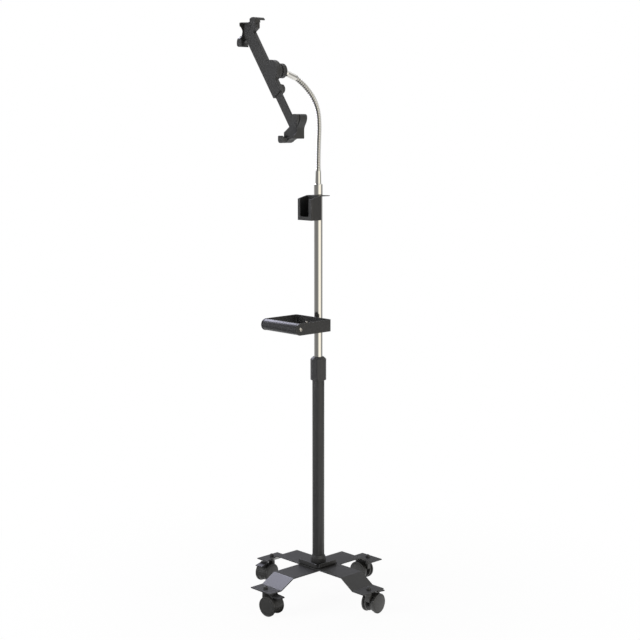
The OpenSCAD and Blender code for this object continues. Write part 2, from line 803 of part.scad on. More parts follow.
// Thin wall that goes on behind the jaw along the outer side
module flap_outline() {
    flap_t = wing_t;
    polygon(concat(
        wing_side_points(),
        [[wing_l - flap_t, wing_end_r - wing_edge(wing_l)]],
        [for (s = reversed(sweep_steps)) [s, flap_t - wing_edge(s)]],
        [[-wing_t, flap_t - wing_t]]
    ));
}

// Outer layer of a wing that the groove between jaw and flap takes away
module groove_outline() {
    groove_depth = 3.4;
    from = flare_start + 6;
    steps = [for (s = sweep_steps) if (s > from) s];
    polygon(concat(
        [[from, -wing_edge(from) - 1]],
        [for (s = steps) [s, -wing_edge(s) - 1]],
        [[wing_l + 1, -wing_edge(wing_l) - 1], [wing_l + 1, groove_depth - wing_edge(wing_l)]],
        [for (s = reversed(steps)) [s, groove_depth - wing_edge(s)]]
    ));
}

// Lip of a jaw over the front of the device
module lip_outline() {
    lip_r = 2.5;
    root = -edge_gap - 1;
    polygon([
        [jaw_start, root], [wing_l, root], [wing_l, lip_reach - lip_r], [wing_l - lip_r, lip_reach],
        [jaw_start + lip_reach + lip_r, lip_reach], [jaw_start, -edge_gap]
    ]);
    translate([wing_l - lip_r, lip_reach - lip_r]) circle(r = lip_r);
}

// One corner grip: the device's corner is the origin, the device lies at x > 0 and y > 0
module grip() {
    recess_sagitta = device_t + part_gap + lip_t - 1.7;
    recess_half = 0.27 * wing_l;
    recess_r = (recess_half * recess_half + recess_sagitta * recess_sagitta) / (2 * recess_sagitta);
    groove_z = device_back + 0.4 * device_t;
    groove_w = 2;
    slot_fit = run_fit;
    difference() {
        union() {
            for (turn = [0, 1]) wing_side(turn) {
                difference() {
                    translate([0, 0, web_back]) linear_extrude(grip_front - web_back) jaw_outline();
                    translate([0.36 * wing_l, -wing_t, grip_front - recess_sagitta + recess_r])
                        along_y(8 * wing_t, recess_r);
                    translate([0, 0, groove_z - groove_w / 2]) linear_extrude(groove_w) groove_outline();
                }
                translate([0, 0, wing_back]) linear_extrude(web_back + 1 - wing_back) flap_outline();
                translate([0, 0, lip_start]) linear_extrude(lip_t) lip_outline();
            }
            translate([-wing_t / 2, -wing_t / 2, arm_start]) linear_extrude(arm_t) grip_floor_outline();
        }
        rotate([0, 0, diagonal_angle]) translate([
            grip_floor_l - tongue_l - slot_fit, -bar_w / 2 - slot_fit,
            arm_start + arm_wall + part_gap - slot_fit
        ]) cube([2 * tongue_l, bar_w + 2 * slot_fit, bar_t - 2 * part_gap + 2 * slot_fit]);
    }
}

module wing_side(turn) {
    if (turn == 0) children();
    else mirror([1, -1, 0]) children();
}

module grip_floor_outline() {
    floor_l = 0.86 * wing_l;
    intersection() {
        square([floor_l + wing_t / 2, floor_l + wing_t / 2]);
        translate([wing_t / 2, wing_t / 2]) rotate(diagonal_angle)
            translate([-2 * wing_l, -2 * wing_l]) square([2 * wing_l + grip_floor_l, 4 * wing_l]);
    }
}

// Places a grip at the upper left or the lower right corner of the device
module at_corner(upper) {
    holder_frame(device_z) rotate([0, 0, upper ? 0 : 180]) translate([-device_w / 2, device_h / 2, 0])
        mirror([0, 1, 0]) children();
}

module grip_pads() {
    pad_l = wing_l - jaw_start - 3;
    side_pad_t = edge_gap - part_gap;
    pad_h = device_t - 1;
    for (turn = [0, 1]) wing_side(turn)
        translate([jaw_start + 1.5, -edge_gap, device_back + 0.5]) cube([pad_l, side_pad_t, pad_h]);
    translate([3, 3, arm_end]) difference() {
        cube([18, 18, pad_t - part_gap]);
        translate([0, 0, -1]) linear_extrude(3) polygon([[18, 6], [19, 6], [19, 19], [6, 19], [6, 18]]);
    }
}

module upper_grip() {
    color(black_plastic) at_corner(true) grip();
}

module lower_grip() {
    color(black_plastic) at_corner(false) grip();
}

module upper_grip_pads() {
    color(dark_rubber) at_corner(true) grip_pads();
}

module lower_grip_pads() {
    color(dark_rubber) at_corner(false) grip_pads();
}

// Fluted knob whose screw presses on the sliding bar
module clamp_knob() {
    lobes = 8;
    knob_back = arm_start - 2 - knob_h;
    knob_r = knob_d / 2;
    color(black_plastic) at_arm() translate([knob_u, 0, 0]) {
        difference() {
            rotate_extrude() polygon([
                [0, knob_back], [knob_r - 2.5, knob_back], [knob_r, knob_back + 2.5],
                [knob_r, arm_start - 4], [knob_r - 4, arm_start - part_gap], [0, arm_start - part_gap]
            ]);
            for (i = [0:lobes - 1]) rotate([0, 0, 360 * i / lobes])
                translate([knob_r + 1.5, 0, knob_back - 1]) cylinder(h = knob_h + 4, r = 3);
        }
        translate([0, 0, arm_start - 3]) cylinder(h = arm_wall + 3, r = pivot_r);
    }
}

// Casters: the stem is the local origin, the axle runs radially and the wheels trail along +X

fender_in_r = wheel_r - fender_t;
hub_drum_r = fender_in_r - 0.5;
wheel_in = hood_web / 2 + part_gap;
fender_half = wheel_in + wheel_w - rim_w - part_gap;
stem_foot_z = flange_z - stem_l;
pedal_pin_r = 1.5;
pedal_barrel_r = 2.5;
ear_t = 2;
ear_out = fender_half - 2.5;
barrel_half = ear_out - ear_t - part_gap;
pedal_from_stem = caster_trail + 8;
pedal_z = wheel_d + 1.6;

module at_axle() {
    translate([caster_trail, 0, wheel_r]) rotate([90, 0, 0]) children();
}

module at_pedal() {
    translate([pedal_from_stem, 0, pedal_z]) rotate([90, 0, 0]) children();
}

// Side view of a sector round the axle
module sector(angles) {
    reach = 2 * wheel_r;
    polygon(concat([[0, 0]], [for (a = angles) reach * unit(a)]));
}

// The hood covers the wheels from the leading top round the trailing side
module covered_sector() {
    sector([-20, 10, 50, 90, 128]);
}

module web_outline() {
    web_r = wheel_r - 3;
    post_half = stem_d / 2 + 1.5;
    circle(r = 0.5 * wheel_r);
    intersection() {
        circle(r = wheel_r);
        covered_sector();
    }
    intersection() {
        circle(r = web_r);
        sector([-20, 10, 50, 90, 128, 165]);
    }
    translate([-caster_trail - post_half, wheel_r / 4])
        square([2 * post_half, hood_top - 10 - 1.25 * wheel_r]);
}

// Ear for the pedal's pin, seen from the side with the axle at the origin
module ear_outline() {
    ear_r = pedal_barrel_r + 0.7;
    difference() {
        translate([pedal_from_stem - caster_trail, pedal_z - wheel_r]) {
            circle(r = ear_r);
            translate([-ear_r, -2 * ear_r]) square([2 * ear_r, 2 * ear_r]);
        }
        circle(r = (wheel_r + fender_in_r) / 2);
    }
}

module caster_hood() {
    boss_z = wheel_r + sqrt(hub_drum_r * hub_drum_r - pow(caster_trail - neck_boss_d / 2, 2)) + 0.5;
    color(black_plastic) difference() {
        union() {
            at_axle() linear_extrude(hood_web, center = true) web_outline();
            at_axle() linear_extrude(2 * fender_half, center = true) intersection() {
                difference() {
                    circle(r = wheel_r);
                    circle(r = fender_in_r);
                }
                covered_sector();
            }
            translate([0, 0, boss_z]) cylinder(h = hood_top - boss_z, r = neck_boss_d / 2);
            for (side = [-1, 1]) at_axle() translate([0, 0, side * (ear_out - ear_t / 2)])
                linear_extrude(ear_t, center = true) ear_outline();
        }
        at_axle() cylinder(h = 2 * hood_web, r = axle_d / 2 + run_fit, center = true);
        at_pedal() cylinder(h = 4 * hood_web, r = pedal_pin_r + run_fit, center = true);
        translate([0, 0, stem_foot_z - part_gap]) cylinder(h = hood_top, r = stem_d / 2 + run_fit);
    }
}

// One wheel: a drum under the fender, a rounded rim outside it and a domed outer face
module wheel() {
    rim_in = wheel_w - rim_w;
    edge_r = 1.6;
    dome = 1.2;
    bore_end = wheel_w - 3;
    face_r = wheel_r - edge_r;
    shoulder = wheel_w - dome;
    rotate_extrude() difference() {
        polygon(concat(
            [[0, 0], [hub_drum_r, 0], [hub_drum_r, rim_in]],
            [[wheel_r - 0.8, rim_in], [wheel_r, rim_in + 0.8]],
            [for (a = [0:22.5:90]) [face_r, shoulder - edge_r] + edge_r * unit(a)],
            [for (i = [4:-1:0]) [face_r * i / 5, wheel_w - dome * pow(i / 5, 2)]]
        ));
        translate([0, -1]) square([axle_d / 2 + run_fit, bore_end + 1]);
    }
}

module caster_wheels() {
    axle_half = wheel_in + wheel_w - 3 - part_gap;
    color(dark_rubber) at_axle() {
        for (side = [0, 1]) mirror([0, 0, side]) translate([0, 0, wheel_in]) wheel();
        cylinder(h = 2 * axle_half, r = axle_d / 2, center = true);
    }
}

module brake_pedal() {
    tread_from = pedal_barrel_r + 2.2;
    tread_t = 3;
    color(black_plastic) at_pedal() union() {
        cylinder(h = 2 * barrel_half, r = pedal_barrel_r, center = true);
        cylinder(h = 2 * ear_out, r = pedal_pin_r, center = true);
        rotate([0, 0, -pedal_slope]) {
            translate([0, -tread_t / 2, -barrel_half]) cube([tread_from + 1, tread_t, 2 * barrel_half]);
            translate([tread_from, -tread_t / 2, -pedal_w / 2])
                cube([pedal_l - tread_from - tread_t / 2, tread_t, pedal_w]);
            translate([pedal_l - tread_t / 2, 0, 0]) cylinder(h = pedal_w, r = tread_t / 2, center = true);
        }
    }
}

module caster_stems() {
    thread_l = strip_t + stem_nut_h - 1.5;
    color(chrome_steel) on_each_leg() {
        translate([0, 0, stem_foot_z]) cylinder(h = stem_l, r = stem_d / 2);
        translate([0, 0, flange_z - 1]) cylinder(h = thread_l, r = stem_thread_d / 2);
    }
}

module caster_nuts() {
    nut_r = stem_nut_d / 2;
    thread_r = stem_thread_d / 2 + run_fit;
    seat = flange_z + strip_t;
    color(dark_rubber) on_each_leg() translate([0, 0, seat]) difference() {
        union() {
            cylinder(h = stem_nut_h - nut_r, r = nut_r);
            translate([0, 0, stem_nut_h - nut_r]) intersection() {
                sphere(r = nut_r);
                cylinder(h = nut_r, r = nut_r + 1);
            }
        }
        translate([0, 0, -1]) cylinder(h = stem_nut_h - 1.2, r = thread_r);
    }
}

module on_leg(leg) {
    rotate([0, 0, 90 * leg]) translate([0, -stem_r, 0]) rotate([0, 0, caster_turn]) children();
}

base_lower_strip();
base_upper_strip();
centre_plate();
base_bolt();
base_washer();
post_foot();
lower_tube();
lock_bush();
lock_collet();
caster_stems();
caster_nuts();
lock_collar();
glide_bush();
glide_stops();
upper_tube();
handle_bracket();
handle_saddle();
handle_strap();
handle_clamp_screws();
grip_bar();
grip_sleeve();
grip_screws();
pocket();
neck_connector();
gooseneck(1);  // gooseneck_1
gooseneck(2);  // gooseneck_2
gooseneck(3);  // gooseneck_3
gooseneck(4);  // gooseneck_4
gooseneck(5);  // gooseneck_5
gooseneck(6);  // gooseneck_6
gooseneck(7);  // gooseneck_7
gooseneck(8);  // gooseneck_8
neck_end_ferrule();
ball_stud();
ball_socket();
ball_lock_nut();
hub_pivot_screw();
hub_plate();
holder_arm();
upper_grip();
upper_grip_pads();
sliding_bar();
lower_grip();
lower_grip_pads();
clamp_knob();
on_leg(0) caster_hood();  // front_caster_hood
on_leg(0) caster_wheels();  // front_caster_wheels
on_leg(0) brake_pedal();  // front_brake_pedal
on_leg(1) caster_hood();  // right_caster_hood
on_leg(1) caster_wheels();  // right_caster_wheels
on_leg(1) brake_pedal();  // right_brake_pedal
on_leg(2) caster_hood();  // rear_caster_hood
on_leg(2) caster_wheels();  // rear_caster_wheels
on_leg(2) brake_pedal();  // rear_brake_pedal
on_leg(3) caster_hood();  // left_caster_hood
on_leg(3) caster_wheels();  // left_caster_wheels
on_leg(3) brake_pedal();  // left_brake_pedal
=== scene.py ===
"""Adjustable floor stand with a corner-grip holder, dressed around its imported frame."""

import json
import math

import bmesh
import bpy
from bpy.props import FloatProperty, FloatVectorProperty, IntProperty, PointerProperty
from mathutils import Matrix, Vector
from mathutils.geometry import interpolate_bezier


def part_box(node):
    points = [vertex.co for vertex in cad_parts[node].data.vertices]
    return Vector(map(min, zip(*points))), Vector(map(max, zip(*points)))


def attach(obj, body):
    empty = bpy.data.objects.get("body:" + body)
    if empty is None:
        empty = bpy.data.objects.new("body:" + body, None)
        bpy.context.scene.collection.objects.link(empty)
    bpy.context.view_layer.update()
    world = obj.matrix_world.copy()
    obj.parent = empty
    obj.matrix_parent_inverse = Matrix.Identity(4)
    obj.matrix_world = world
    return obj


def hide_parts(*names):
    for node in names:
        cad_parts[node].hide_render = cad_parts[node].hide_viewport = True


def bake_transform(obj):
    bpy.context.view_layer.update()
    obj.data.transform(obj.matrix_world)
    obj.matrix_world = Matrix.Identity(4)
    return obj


bl_info = {
    "name": "Floor stand with corner-grip holder",
    "version": (1, 0, 0),
    "blender": (4, 5, 0),
    "location": "3D View > Sidebar > Floor stand",
    "description": "Builds the dressed pieces, finishes and studio of a rolling floor stand",
    "category": "Object",
}

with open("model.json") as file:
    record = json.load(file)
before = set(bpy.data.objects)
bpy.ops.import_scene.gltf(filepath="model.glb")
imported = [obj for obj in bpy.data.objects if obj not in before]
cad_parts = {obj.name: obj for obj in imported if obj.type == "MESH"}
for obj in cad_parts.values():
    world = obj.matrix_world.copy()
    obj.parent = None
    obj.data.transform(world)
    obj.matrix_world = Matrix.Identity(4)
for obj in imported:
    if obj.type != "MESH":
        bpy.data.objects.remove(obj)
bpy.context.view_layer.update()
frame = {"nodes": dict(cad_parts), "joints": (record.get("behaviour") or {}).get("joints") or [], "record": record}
MM = 0.001
LEGS = ("front", "right", "rear", "left")


def srgb(code):
    """Linear colour of an sRGB hex code."""
    levels = [int(code[i : i + 2], 16) / 255 for i in (1, 3, 5)]
    return tuple(c / 12.92 if c <= 0.04045 else ((c + 0.055) / 1.055) ** 2.4 for c in levels)


def length(name, description, default_mm):
    """A length property whose default is given in millimetres."""
    return FloatProperty(
        name=name, description=description, default=default_mm * MM, unit="LENGTH", precision=5
    )


def colour(name, description, code):
    """A colour property whose default is an sRGB hex code."""
    return FloatVectorProperty(
        name=name, description=description, default=srgb(code), subtype="COLOR", min=0, max=1
    )


class StandSizes(bpy.types.PropertyGroup):
    """Sizes of the dressed pieces."""

    hose_d: length("Hose diameter", "Diameter over the ribs of the gooseneck", 11.6)
    rib_pitch: length("Rib pitch", "Distance from one rib of the gooseneck to the next", 5.8)
    rib_depth: length("Rib depth", "Depth of the groove between two ribs", 1.7)
    sheet_edge: length("Sheet edge", "Rounding of cut sheet edges", 0.35)
    moulded_edge: length("Moulded edge", "Rounding of moulded edges", 0.5)
    collar_flutes: IntProperty(
        name="Collar flutes", description="Flutes round the twist-lock collar", default=10
    )
    collar_flute_depth: length("Collar flute depth", "Depth of the collar's flutes", 0.6)


class StandColours(bpy.types.PropertyGroup):
    """Base colours of the finishes."""

    powder: colour("Powder coat", "Black powder coat on the steel", "#323232")
    plastic: colour("Black plastic", "Moulded black plastic", "#303030")
    nylon: colour("Wheel nylon", "Moulded wheels and hoods", "#323231")
    rubber: colour("Rubber", "Grip sleeve, pads and pedals", "#2e2e2f")
    chrome: colour("Chrome", "Plated tube and hose", "#dad8d2")
    zinc: colour("Zinc", "Plated screws", "#cfcac0")


def sizes():
    """The scene's sizes."""
    return bpy.context.scene.stand_sizes


def colours():
    """The scene's colours."""
    return bpy.context.scene.stand_colours


# Nodes and finishes

BUMP_STRENGTH = 0.5
# Share of the chrome's colour left in the hose's grooves: painted shade
PAINTED_GROOVE_SHADE = 0.4
FINISHES = {}


def add_node(tree, kind, inputs=None, **settings):
    """Adds a node: settings are its attributes, inputs are values or the sockets to link."""
    node = tree.nodes.new(kind)
    for name, value in settings.items():
        setattr(node, name, value)
    for key, value in (inputs or {}).items():
        if isinstance(key, int):
            socket = node.inputs[key]
        else:
            socket = next(item for item in node.inputs if item.name == key and item.enabled)
        if isinstance(value, bpy.types.NodeSocket):
            tree.links.new(value, socket)
        else:
            socket.default_value = value
    return node


def bare_tree(block):
    """The emptied node tree of a material or a world."""
    block.use_nodes = True
    block.node_tree.nodes.clear()
    return block.node_tree


def shade(base, factor):
    """A colour made lighter or darker."""
    return (*(min(1, c * factor) for c in base), 1)


def new_finish(
    key, name, base, patch_mm, spread, rough, grain_mm, depth_mm, stretch=(1, 1, 1), metallic=0.0, **sockets
):
    """Makes a finish: a colour that drifts over patches, and a fine grain in roughness and relief."""
    material = bpy.data.materials.new(name)
    tree = bare_tree(material)
    shader = add_node(tree, "ShaderNodeBsdfPrincipled", {"Base Color": (*base, 1), "Metallic": metallic})
    for socket, value in sockets.items():
        shader.inputs[socket.replace("_", " ")].default_value = value
    add_node(tree, "ShaderNodeOutputMaterial", {"Surface": shader.outputs[0]})
    where = add_node(tree, "ShaderNodeTexCoord").outputs["Object"]
    where = add_node(tree, "ShaderNodeMapping", {"Vector": where, "Scale": stretch}).outputs[0]
    patches = {"Vector": where, "Scale": 1 / (patch_mm * MM), "Detail": 5}
    drift = add_node(tree, "ShaderNodeTexNoise", patches).outputs["Fac"]
    tones = {"Factor": drift, "A": shade(base, 1 - spread), "B": shade(base, 1 + spread)}
    mix = add_node(tree, "ShaderNodeMix", tones, data_type="RGBA")
    tree.links.new(mix.outputs[2], shader.inputs["Base Color"])
    specks = {"Vector": where, "Scale": 1 / (grain_mm * MM), "Detail": 3}
    grain = add_node(tree, "ShaderNodeTexNoise", specks).outputs["Fac"]
    span = add_node(tree, "ShaderNodeMapRange", {"Value": grain, "To Min": rough[0], "To Max": rough[1]})
    tree.links.new(span.outputs["Result"], shader.inputs["Roughness"])
    relief = {"Height": grain, "Strength": BUMP_STRENGTH, "Distance": depth_mm * MM}
    bump = add_node(tree, "ShaderNodeBump", relief)
    tree.links.new(bump.outputs["Normal"], shader.inputs["Normal"])
    FINISHES[key] = material
    return tree, shader


def make_finishes():
    """Makes every finish once, named for the real material.

    The skins of moulded and rubber pieces are drawn coarser than the real ones, so that they show.
    """
    paint = colours()
    # Satin powder coat on sheet steel: an even skin with a faint orange peel that spreads the light
    new_finish(
        "powder", "powder-coated steel", paint.powder, patch_mm=60, spread=0.06, rough=(0.34, 0.4),
        grain_mm=1.6, depth_mm=0.006, Specular_IOR_Level=0.4,
    )
    # Bright chrome plate on drawn tube: mirror-like, with faint lines along the draw
    new_finish(
        "chrome", "chrome plate", paint.chrome, patch_mm=40, spread=0.03, rough=(0.05, 0.09),
        grain_mm=2.0, depth_mm=0.002, stretch=(1, 1, 0.05), metallic=1.0,
    )
    # Chrome plate on a pressed hose: bright crests, and grooves darkened with painted shade
    tree, shader = new_finish(
        "hose", "chrome-plated hose", paint.chrome, patch_mm=25, spread=0.04, rough=(0.1, 0.17),
        grain_mm=1.0, depth_mm=0.003, metallic=1.0,
    )
    # Painted shade: the chrome's colour is darkened wherever the mask marks a groove between two ribs
    groove = add_node(tree, "ShaderNodeAttribute", attribute_name="groove").outputs["Fac"]
    bright = shader.inputs["Base Color"].links[0].from_socket
    tones = {"Factor": groove, "A": bright, "B": shade(paint.chrome, PAINTED_GROOVE_SHADE)}
    mix = add_node(tree, "ShaderNodeMix", tones, data_type="RGBA")
    tree.links.new(mix.outputs[2], shader.inputs["Base Color"])
    # Moulded ABS with a fine spark-eroded skin: matt with soft highlights on the edges
    new_finish(
        "plastic", "moulded ABS", paint.plastic, patch_mm=45, spread=0.05, rough=(0.38, 0.46),
        grain_mm=0.9, depth_mm=0.008,
    )
    # Moulded nylon of the casters: smoother than the ABS and a little warmer
    new_finish(
        "nylon", "moulded nylon", paint.nylon, patch_mm=30, spread=0.05, rough=(0.32, 0.42),
        grain_mm=1.2, depth_mm=0.01,
    )
    # Soft rubber: a fine skin that dims the highlight and spreads it
    new_finish(
        "rubber", "soft rubber", paint.rubber, patch_mm=35, spread=0.06, rough=(0.36, 0.42),
        grain_mm=0.8, depth_mm=0.003, Specular_IOR_Level=0.34,
    )
    # Zinc-plated steel of screws: bright with a slight haze
    new_finish(
        "zinc", "zinc-plated steel", paint.zinc, patch_mm=8, spread=0.06, rough=(0.2, 0.32),
        grain_mm=0.6, depth_mm=0.005, metallic=1.0,
    )


# Mesh helpers: angles in degrees, distances in metres

SHARP_ANGLE, EDGE_ANGLE, FLAT_ANGLE = 32, 38, 0.6
EDGE_SEGMENTS, CORNER_STEPS, BEND_STEPS = 2, 4, 8
WELD, TINY = 1e-6, 1e-7
# Corners wider than this many radians stay as they are, and a rounding takes less than half a side
STRAIGHT, SIDE_SHARE = 3.1, 0.49


def linked(name, data):
    """A new object in the scene."""
    obj = bpy.data.objects.new(name, data)
    bpy.context.scene.collection.objects.link(obj)
    return obj


def smoothed(mesh, sharp):
    """Shades a mesh smooth, apart from edges sharper than an angle."""
    mesh.shade_smooth()
    mesh.set_sharp_from_angle(angle=math.radians(sharp))


def evaluated_mesh(obj):
    """A plain mesh of an object's form with its modifiers."""
    graph = bpy.context.evaluated_depsgraph_get()
    return bpy.data.meshes.new_from_object(obj.evaluated_get(graph))


def piece_from(name, bm, finish):
    """Makes a piece of a bmesh."""
    mesh = bpy.data.meshes.new(name)
    bm.to_mesh(mesh)
    bm.free()
    smoothed(mesh, SHARP_ANGLE)
    mesh.materials.append(FINISHES[finish])
    return linked(name, mesh)


def rounded_edges(piece, radius, crowded=False):
    """Rounds a piece's sharp edges; on a crowded piece, short edges don't hold the others back."""
    bevel = piece.modifiers.new("edges", "BEVEL")
    bevel.width = radius
    bevel.segments = EDGE_SEGMENTS
    bevel.limit_method = "ANGLE"
    bevel.angle_limit = math.radians(EDGE_ANGLE)
    bevel.use_clamp_overlap = not crowded
    flats = piece.modifiers.new("flats", "WEIGHTED_NORMAL")
    flats.keep_sharp = True
    mesh = evaluated_mesh(piece)
    piece.modifiers.clear()
    piece.data = mesh
    return piece


def dressed(piece, body, node):
    """Lets a piece ride on a body in place of a CAD node."""
    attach(piece, body)
    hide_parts(node)


def from_node(node, finish, radius=0.0, crowded=False):
    """A copy of a CAD node with merged faces and rounded edges."""
    bm = bmesh.new()
    bm.from_mesh(frame["nodes"][node].data)
    bmesh.ops.remove_doubles(bm, verts=bm.verts, dist=WELD)
    flat = math.radians(FLAT_ANGLE)
    bmesh.ops.dissolve_limit(bm, angle_limit=flat, verts=bm.verts, edges=bm.edges, delimit={"NORMAL"})
    piece = piece_from(node + "_dressed", bm, finish)
    return rounded_edges(piece, radius, crowded) if radius else piece


def outline_mm(*points, up=0.0):
    """An outline of (radius, height, own corner radius if any) in millimetres, raised by some metres."""
    return [(r * MM, up + h * MM, *(own * MM for own in corner)) for r, h, *corner in points]


def filleted(points, radius):
    """A closed outline with its corners rounded; a point may carry its own radius."""
    outline = []
    count = len(points)
    for i, point in enumerate(points):
        own = point[2] if len(point) > 2 else radius
        here, before, after = (Vector(points[k % count][:2]) for k in (i, i - 1, i + 1))
        to_before, to_after = before - here, after - here
        turn = to_before.angle(to_after, math.pi)
        reach = 0
        if turn < STRAIGHT:
            reach = min(own / math.tan(turn / 2), SIDE_SHARE * min(to_before.length, to_after.length))
        if own <= 0 or reach <= TINY:
            outline.append(here)
            continue
        start = here + to_before.normalized() * reach
        end = here + to_after.normalized() * reach
        for k in range(CORNER_STEPS + 1):
            t = k / CORNER_STEPS
            outline.append((1 - t) ** 2 * start + 2 * t * (1 - t) * here + t**2 * end)
    return outline


def divided(outline, step):
    """A closed outline with extra points where two are further apart than a step."""
    points = []
    for here, after in zip(outline, outline[1:] + outline[:1]):
        count = max(1, math.ceil((after - here).length / step))
        points += [here.lerp(after, k / count) for k in range(count)]
    return points


def turned(name, profile, finish, place=None, segments=72, radius=0.0, step=0.0):
    """A body of revolution about the local Z axis from a closed outline of (radius, height)."""
    outline = filleted(profile, radius)
    if step:
        outline = divided(outline, step)
    bm = bmesh.new()
    rings = []
    for r, h in outline:
        if r < TINY:
            rings.append([bm.verts.new((0, 0, h))])
            continue
        turns = (math.tau * k / segments for k in range(segments))
        rings.append([bm.verts.new((r * math.cos(a), r * math.sin(a), h)) for a in turns])
    for ring, following in zip(rings, rings[1:] + rings[:1]):
        for k in range(segments):
            corners = [ring[k % len(ring)], ring[(k + 1) % len(ring)]]
            corners += [following[(k + 1) % len(following)], following[k % len(following)]]
            unique = list(dict.fromkeys(corners))
            if len(unique) > 2:
                bm.faces.new(unique)
    bmesh.ops.recalc_face_normals(bm, faces=bm.faces)
    if place is not None:
        bm.transform(place)
    return piece_from(name, bm, finish)


def tube(name, inner, outer, low, high, finish, segments):
    """An upright tube between two heights, with the edges of its ends broken."""
    profile = [(inner, low), (outer, low), (outer, high), (inner, high)]
    return turned(name, profile, finish, segments=segments, radius=0.2 * MM)


def along(point, direction):
    """Placement with local Z along a direction at a point."""
    return Matrix.Translation(point) @ Vector(direction).to_track_quat("Z", "Y").to_matrix().to_4x4()


def bent_path(points, inner_radius, thickness):
    """The middle line of a bent sheet, with an arc at each bend."""
    middle = inner_radius + thickness / 2
    line = [Vector(points[0])]
    for before, here, after in zip(points, points[1:], points[2:]):
        before, here, after = Vector(before), Vector(here), Vector(after)
        u, v = (here - before).normalized(), (after - here).normalized()
        turn = math.atan2(u.x * v.y - u.y * v.x, u.dot(v))
        start = here - u * middle * math.tan(abs(turn) / 2)
        side = math.copysign(1, turn)
        centre = start + Vector((-u.y, u.x)) * middle * side
        for k in range(BEND_STEPS + 1):
            arm = start - centre
            arm.rotate(Matrix.Rotation(turn * k / BEND_STEPS, 2))
            line.append(centre + arm)
    line.append(Vector(points[-1]))
    return line


def bent_sheet(name, points, inner_radius, thickness, width, finish, edge):
    """A strip of sheet bent along a line in the XZ plane, with its width along Y."""
    line = bent_path(points, inner_radius, thickness)
    bm = bmesh.new()
    sections = []
    for i, point in enumerate(line):
        before = (point - line[i - 1]).normalized() if i else None
        after = (line[i + 1] - point).normalized() if i + 1 < len(line) else None
        course = ((before or after) + (after or before)).normalized()
        side = Vector((-course.y, course.x)) * thickness / 2
        corners = []
        for sign, y in ((1, -1), (1, 1), (-1, 1), (-1, -1)):
            at = point + side * sign
            corners.append(bm.verts.new((at.x, y * width / 2, at.y)))
        sections.append(corners)
    for one, two in zip(sections, sections[1:]):
        for k in range(4):
            bm.faces.new((one[k], one[(k + 1) % 4], two[(k + 1) % 4], two[k]))
    bm.faces.new(sections[0])
    bm.faces.new(sections[-1][::-1])
    bmesh.ops.recalc_face_normals(bm, faces=bm.faces)
    return rounded_edges(piece_from(name, bm, finish), edge)


# Geometry Nodes trees

SEAM_WELD = 2e-6
PATH_STEPS = 24


def new_tree(name, sockets):
    """A Geometry Nodes tree with named inputs, the sockets that give them and those of its output."""
    tree = bpy.data.node_groups.new(name, "GeometryNodeTree")
    for label, kind in sockets.items():
        tree.interface.new_socket(label, in_out="INPUT", socket_type=kind)
    tree.interface.new_socket("Geometry", in_out="OUTPUT", socket_type="NodeSocketGeometry")
    return tree, add_node(tree, "NodeGroupInput").outputs, add_node(tree, "NodeGroupOutput").inputs


def coated(tree, geometry, given, output):
    """Ends a tree: realised and with its finish."""
    plain = add_node(tree, "GeometryNodeRealizeInstances", {"Geometry": geometry}).outputs[0]
    finish = {"Geometry": plain, "Material": given["Finish"]}
    tree.links.new(add_node(tree, "GeometryNodeSetMaterial", finish).outputs[0], output["Geometry"])


def skinned(tree, geometry, given, output):
    """Ends a tree that makes one skin: merged, smooth and coated."""
    seams = {"Geometry": geometry, "Distance": SEAM_WELD}
    merged = add_node(tree, "GeometryNodeMergeByDistance", seams).outputs[0]
    smooth = add_node(tree, "GeometryNodeSetShadeSmooth", {"Geometry": merged}).outputs[0]
    coated(tree, smooth, given, output)


def run_tree(name, tree, base, values, sharp=40):
    """Runs a tree on an object and gives the result as a plain piece."""
    carrier = linked(name, base)
    modifier = carrier.modifiers.new("form", "NODES")
    modifier.node_group = tree
    for item in tree.interface.items_tree:
        if item.in_out == "INPUT" and item.name in values:
            modifier[item.identifier] = values[item.name]
    mesh = evaluated_mesh(carrier)
    bpy.data.objects.remove(carrier)
    mesh.name = name
    bm = bmesh.new()
    bm.from_mesh(mesh)
    bmesh.ops.recalc_face_normals(bm, faces=bm.faces)
    bm.to_mesh(mesh)
    bm.free()
    smoothed(mesh, sharp)
    return linked(name, mesh)


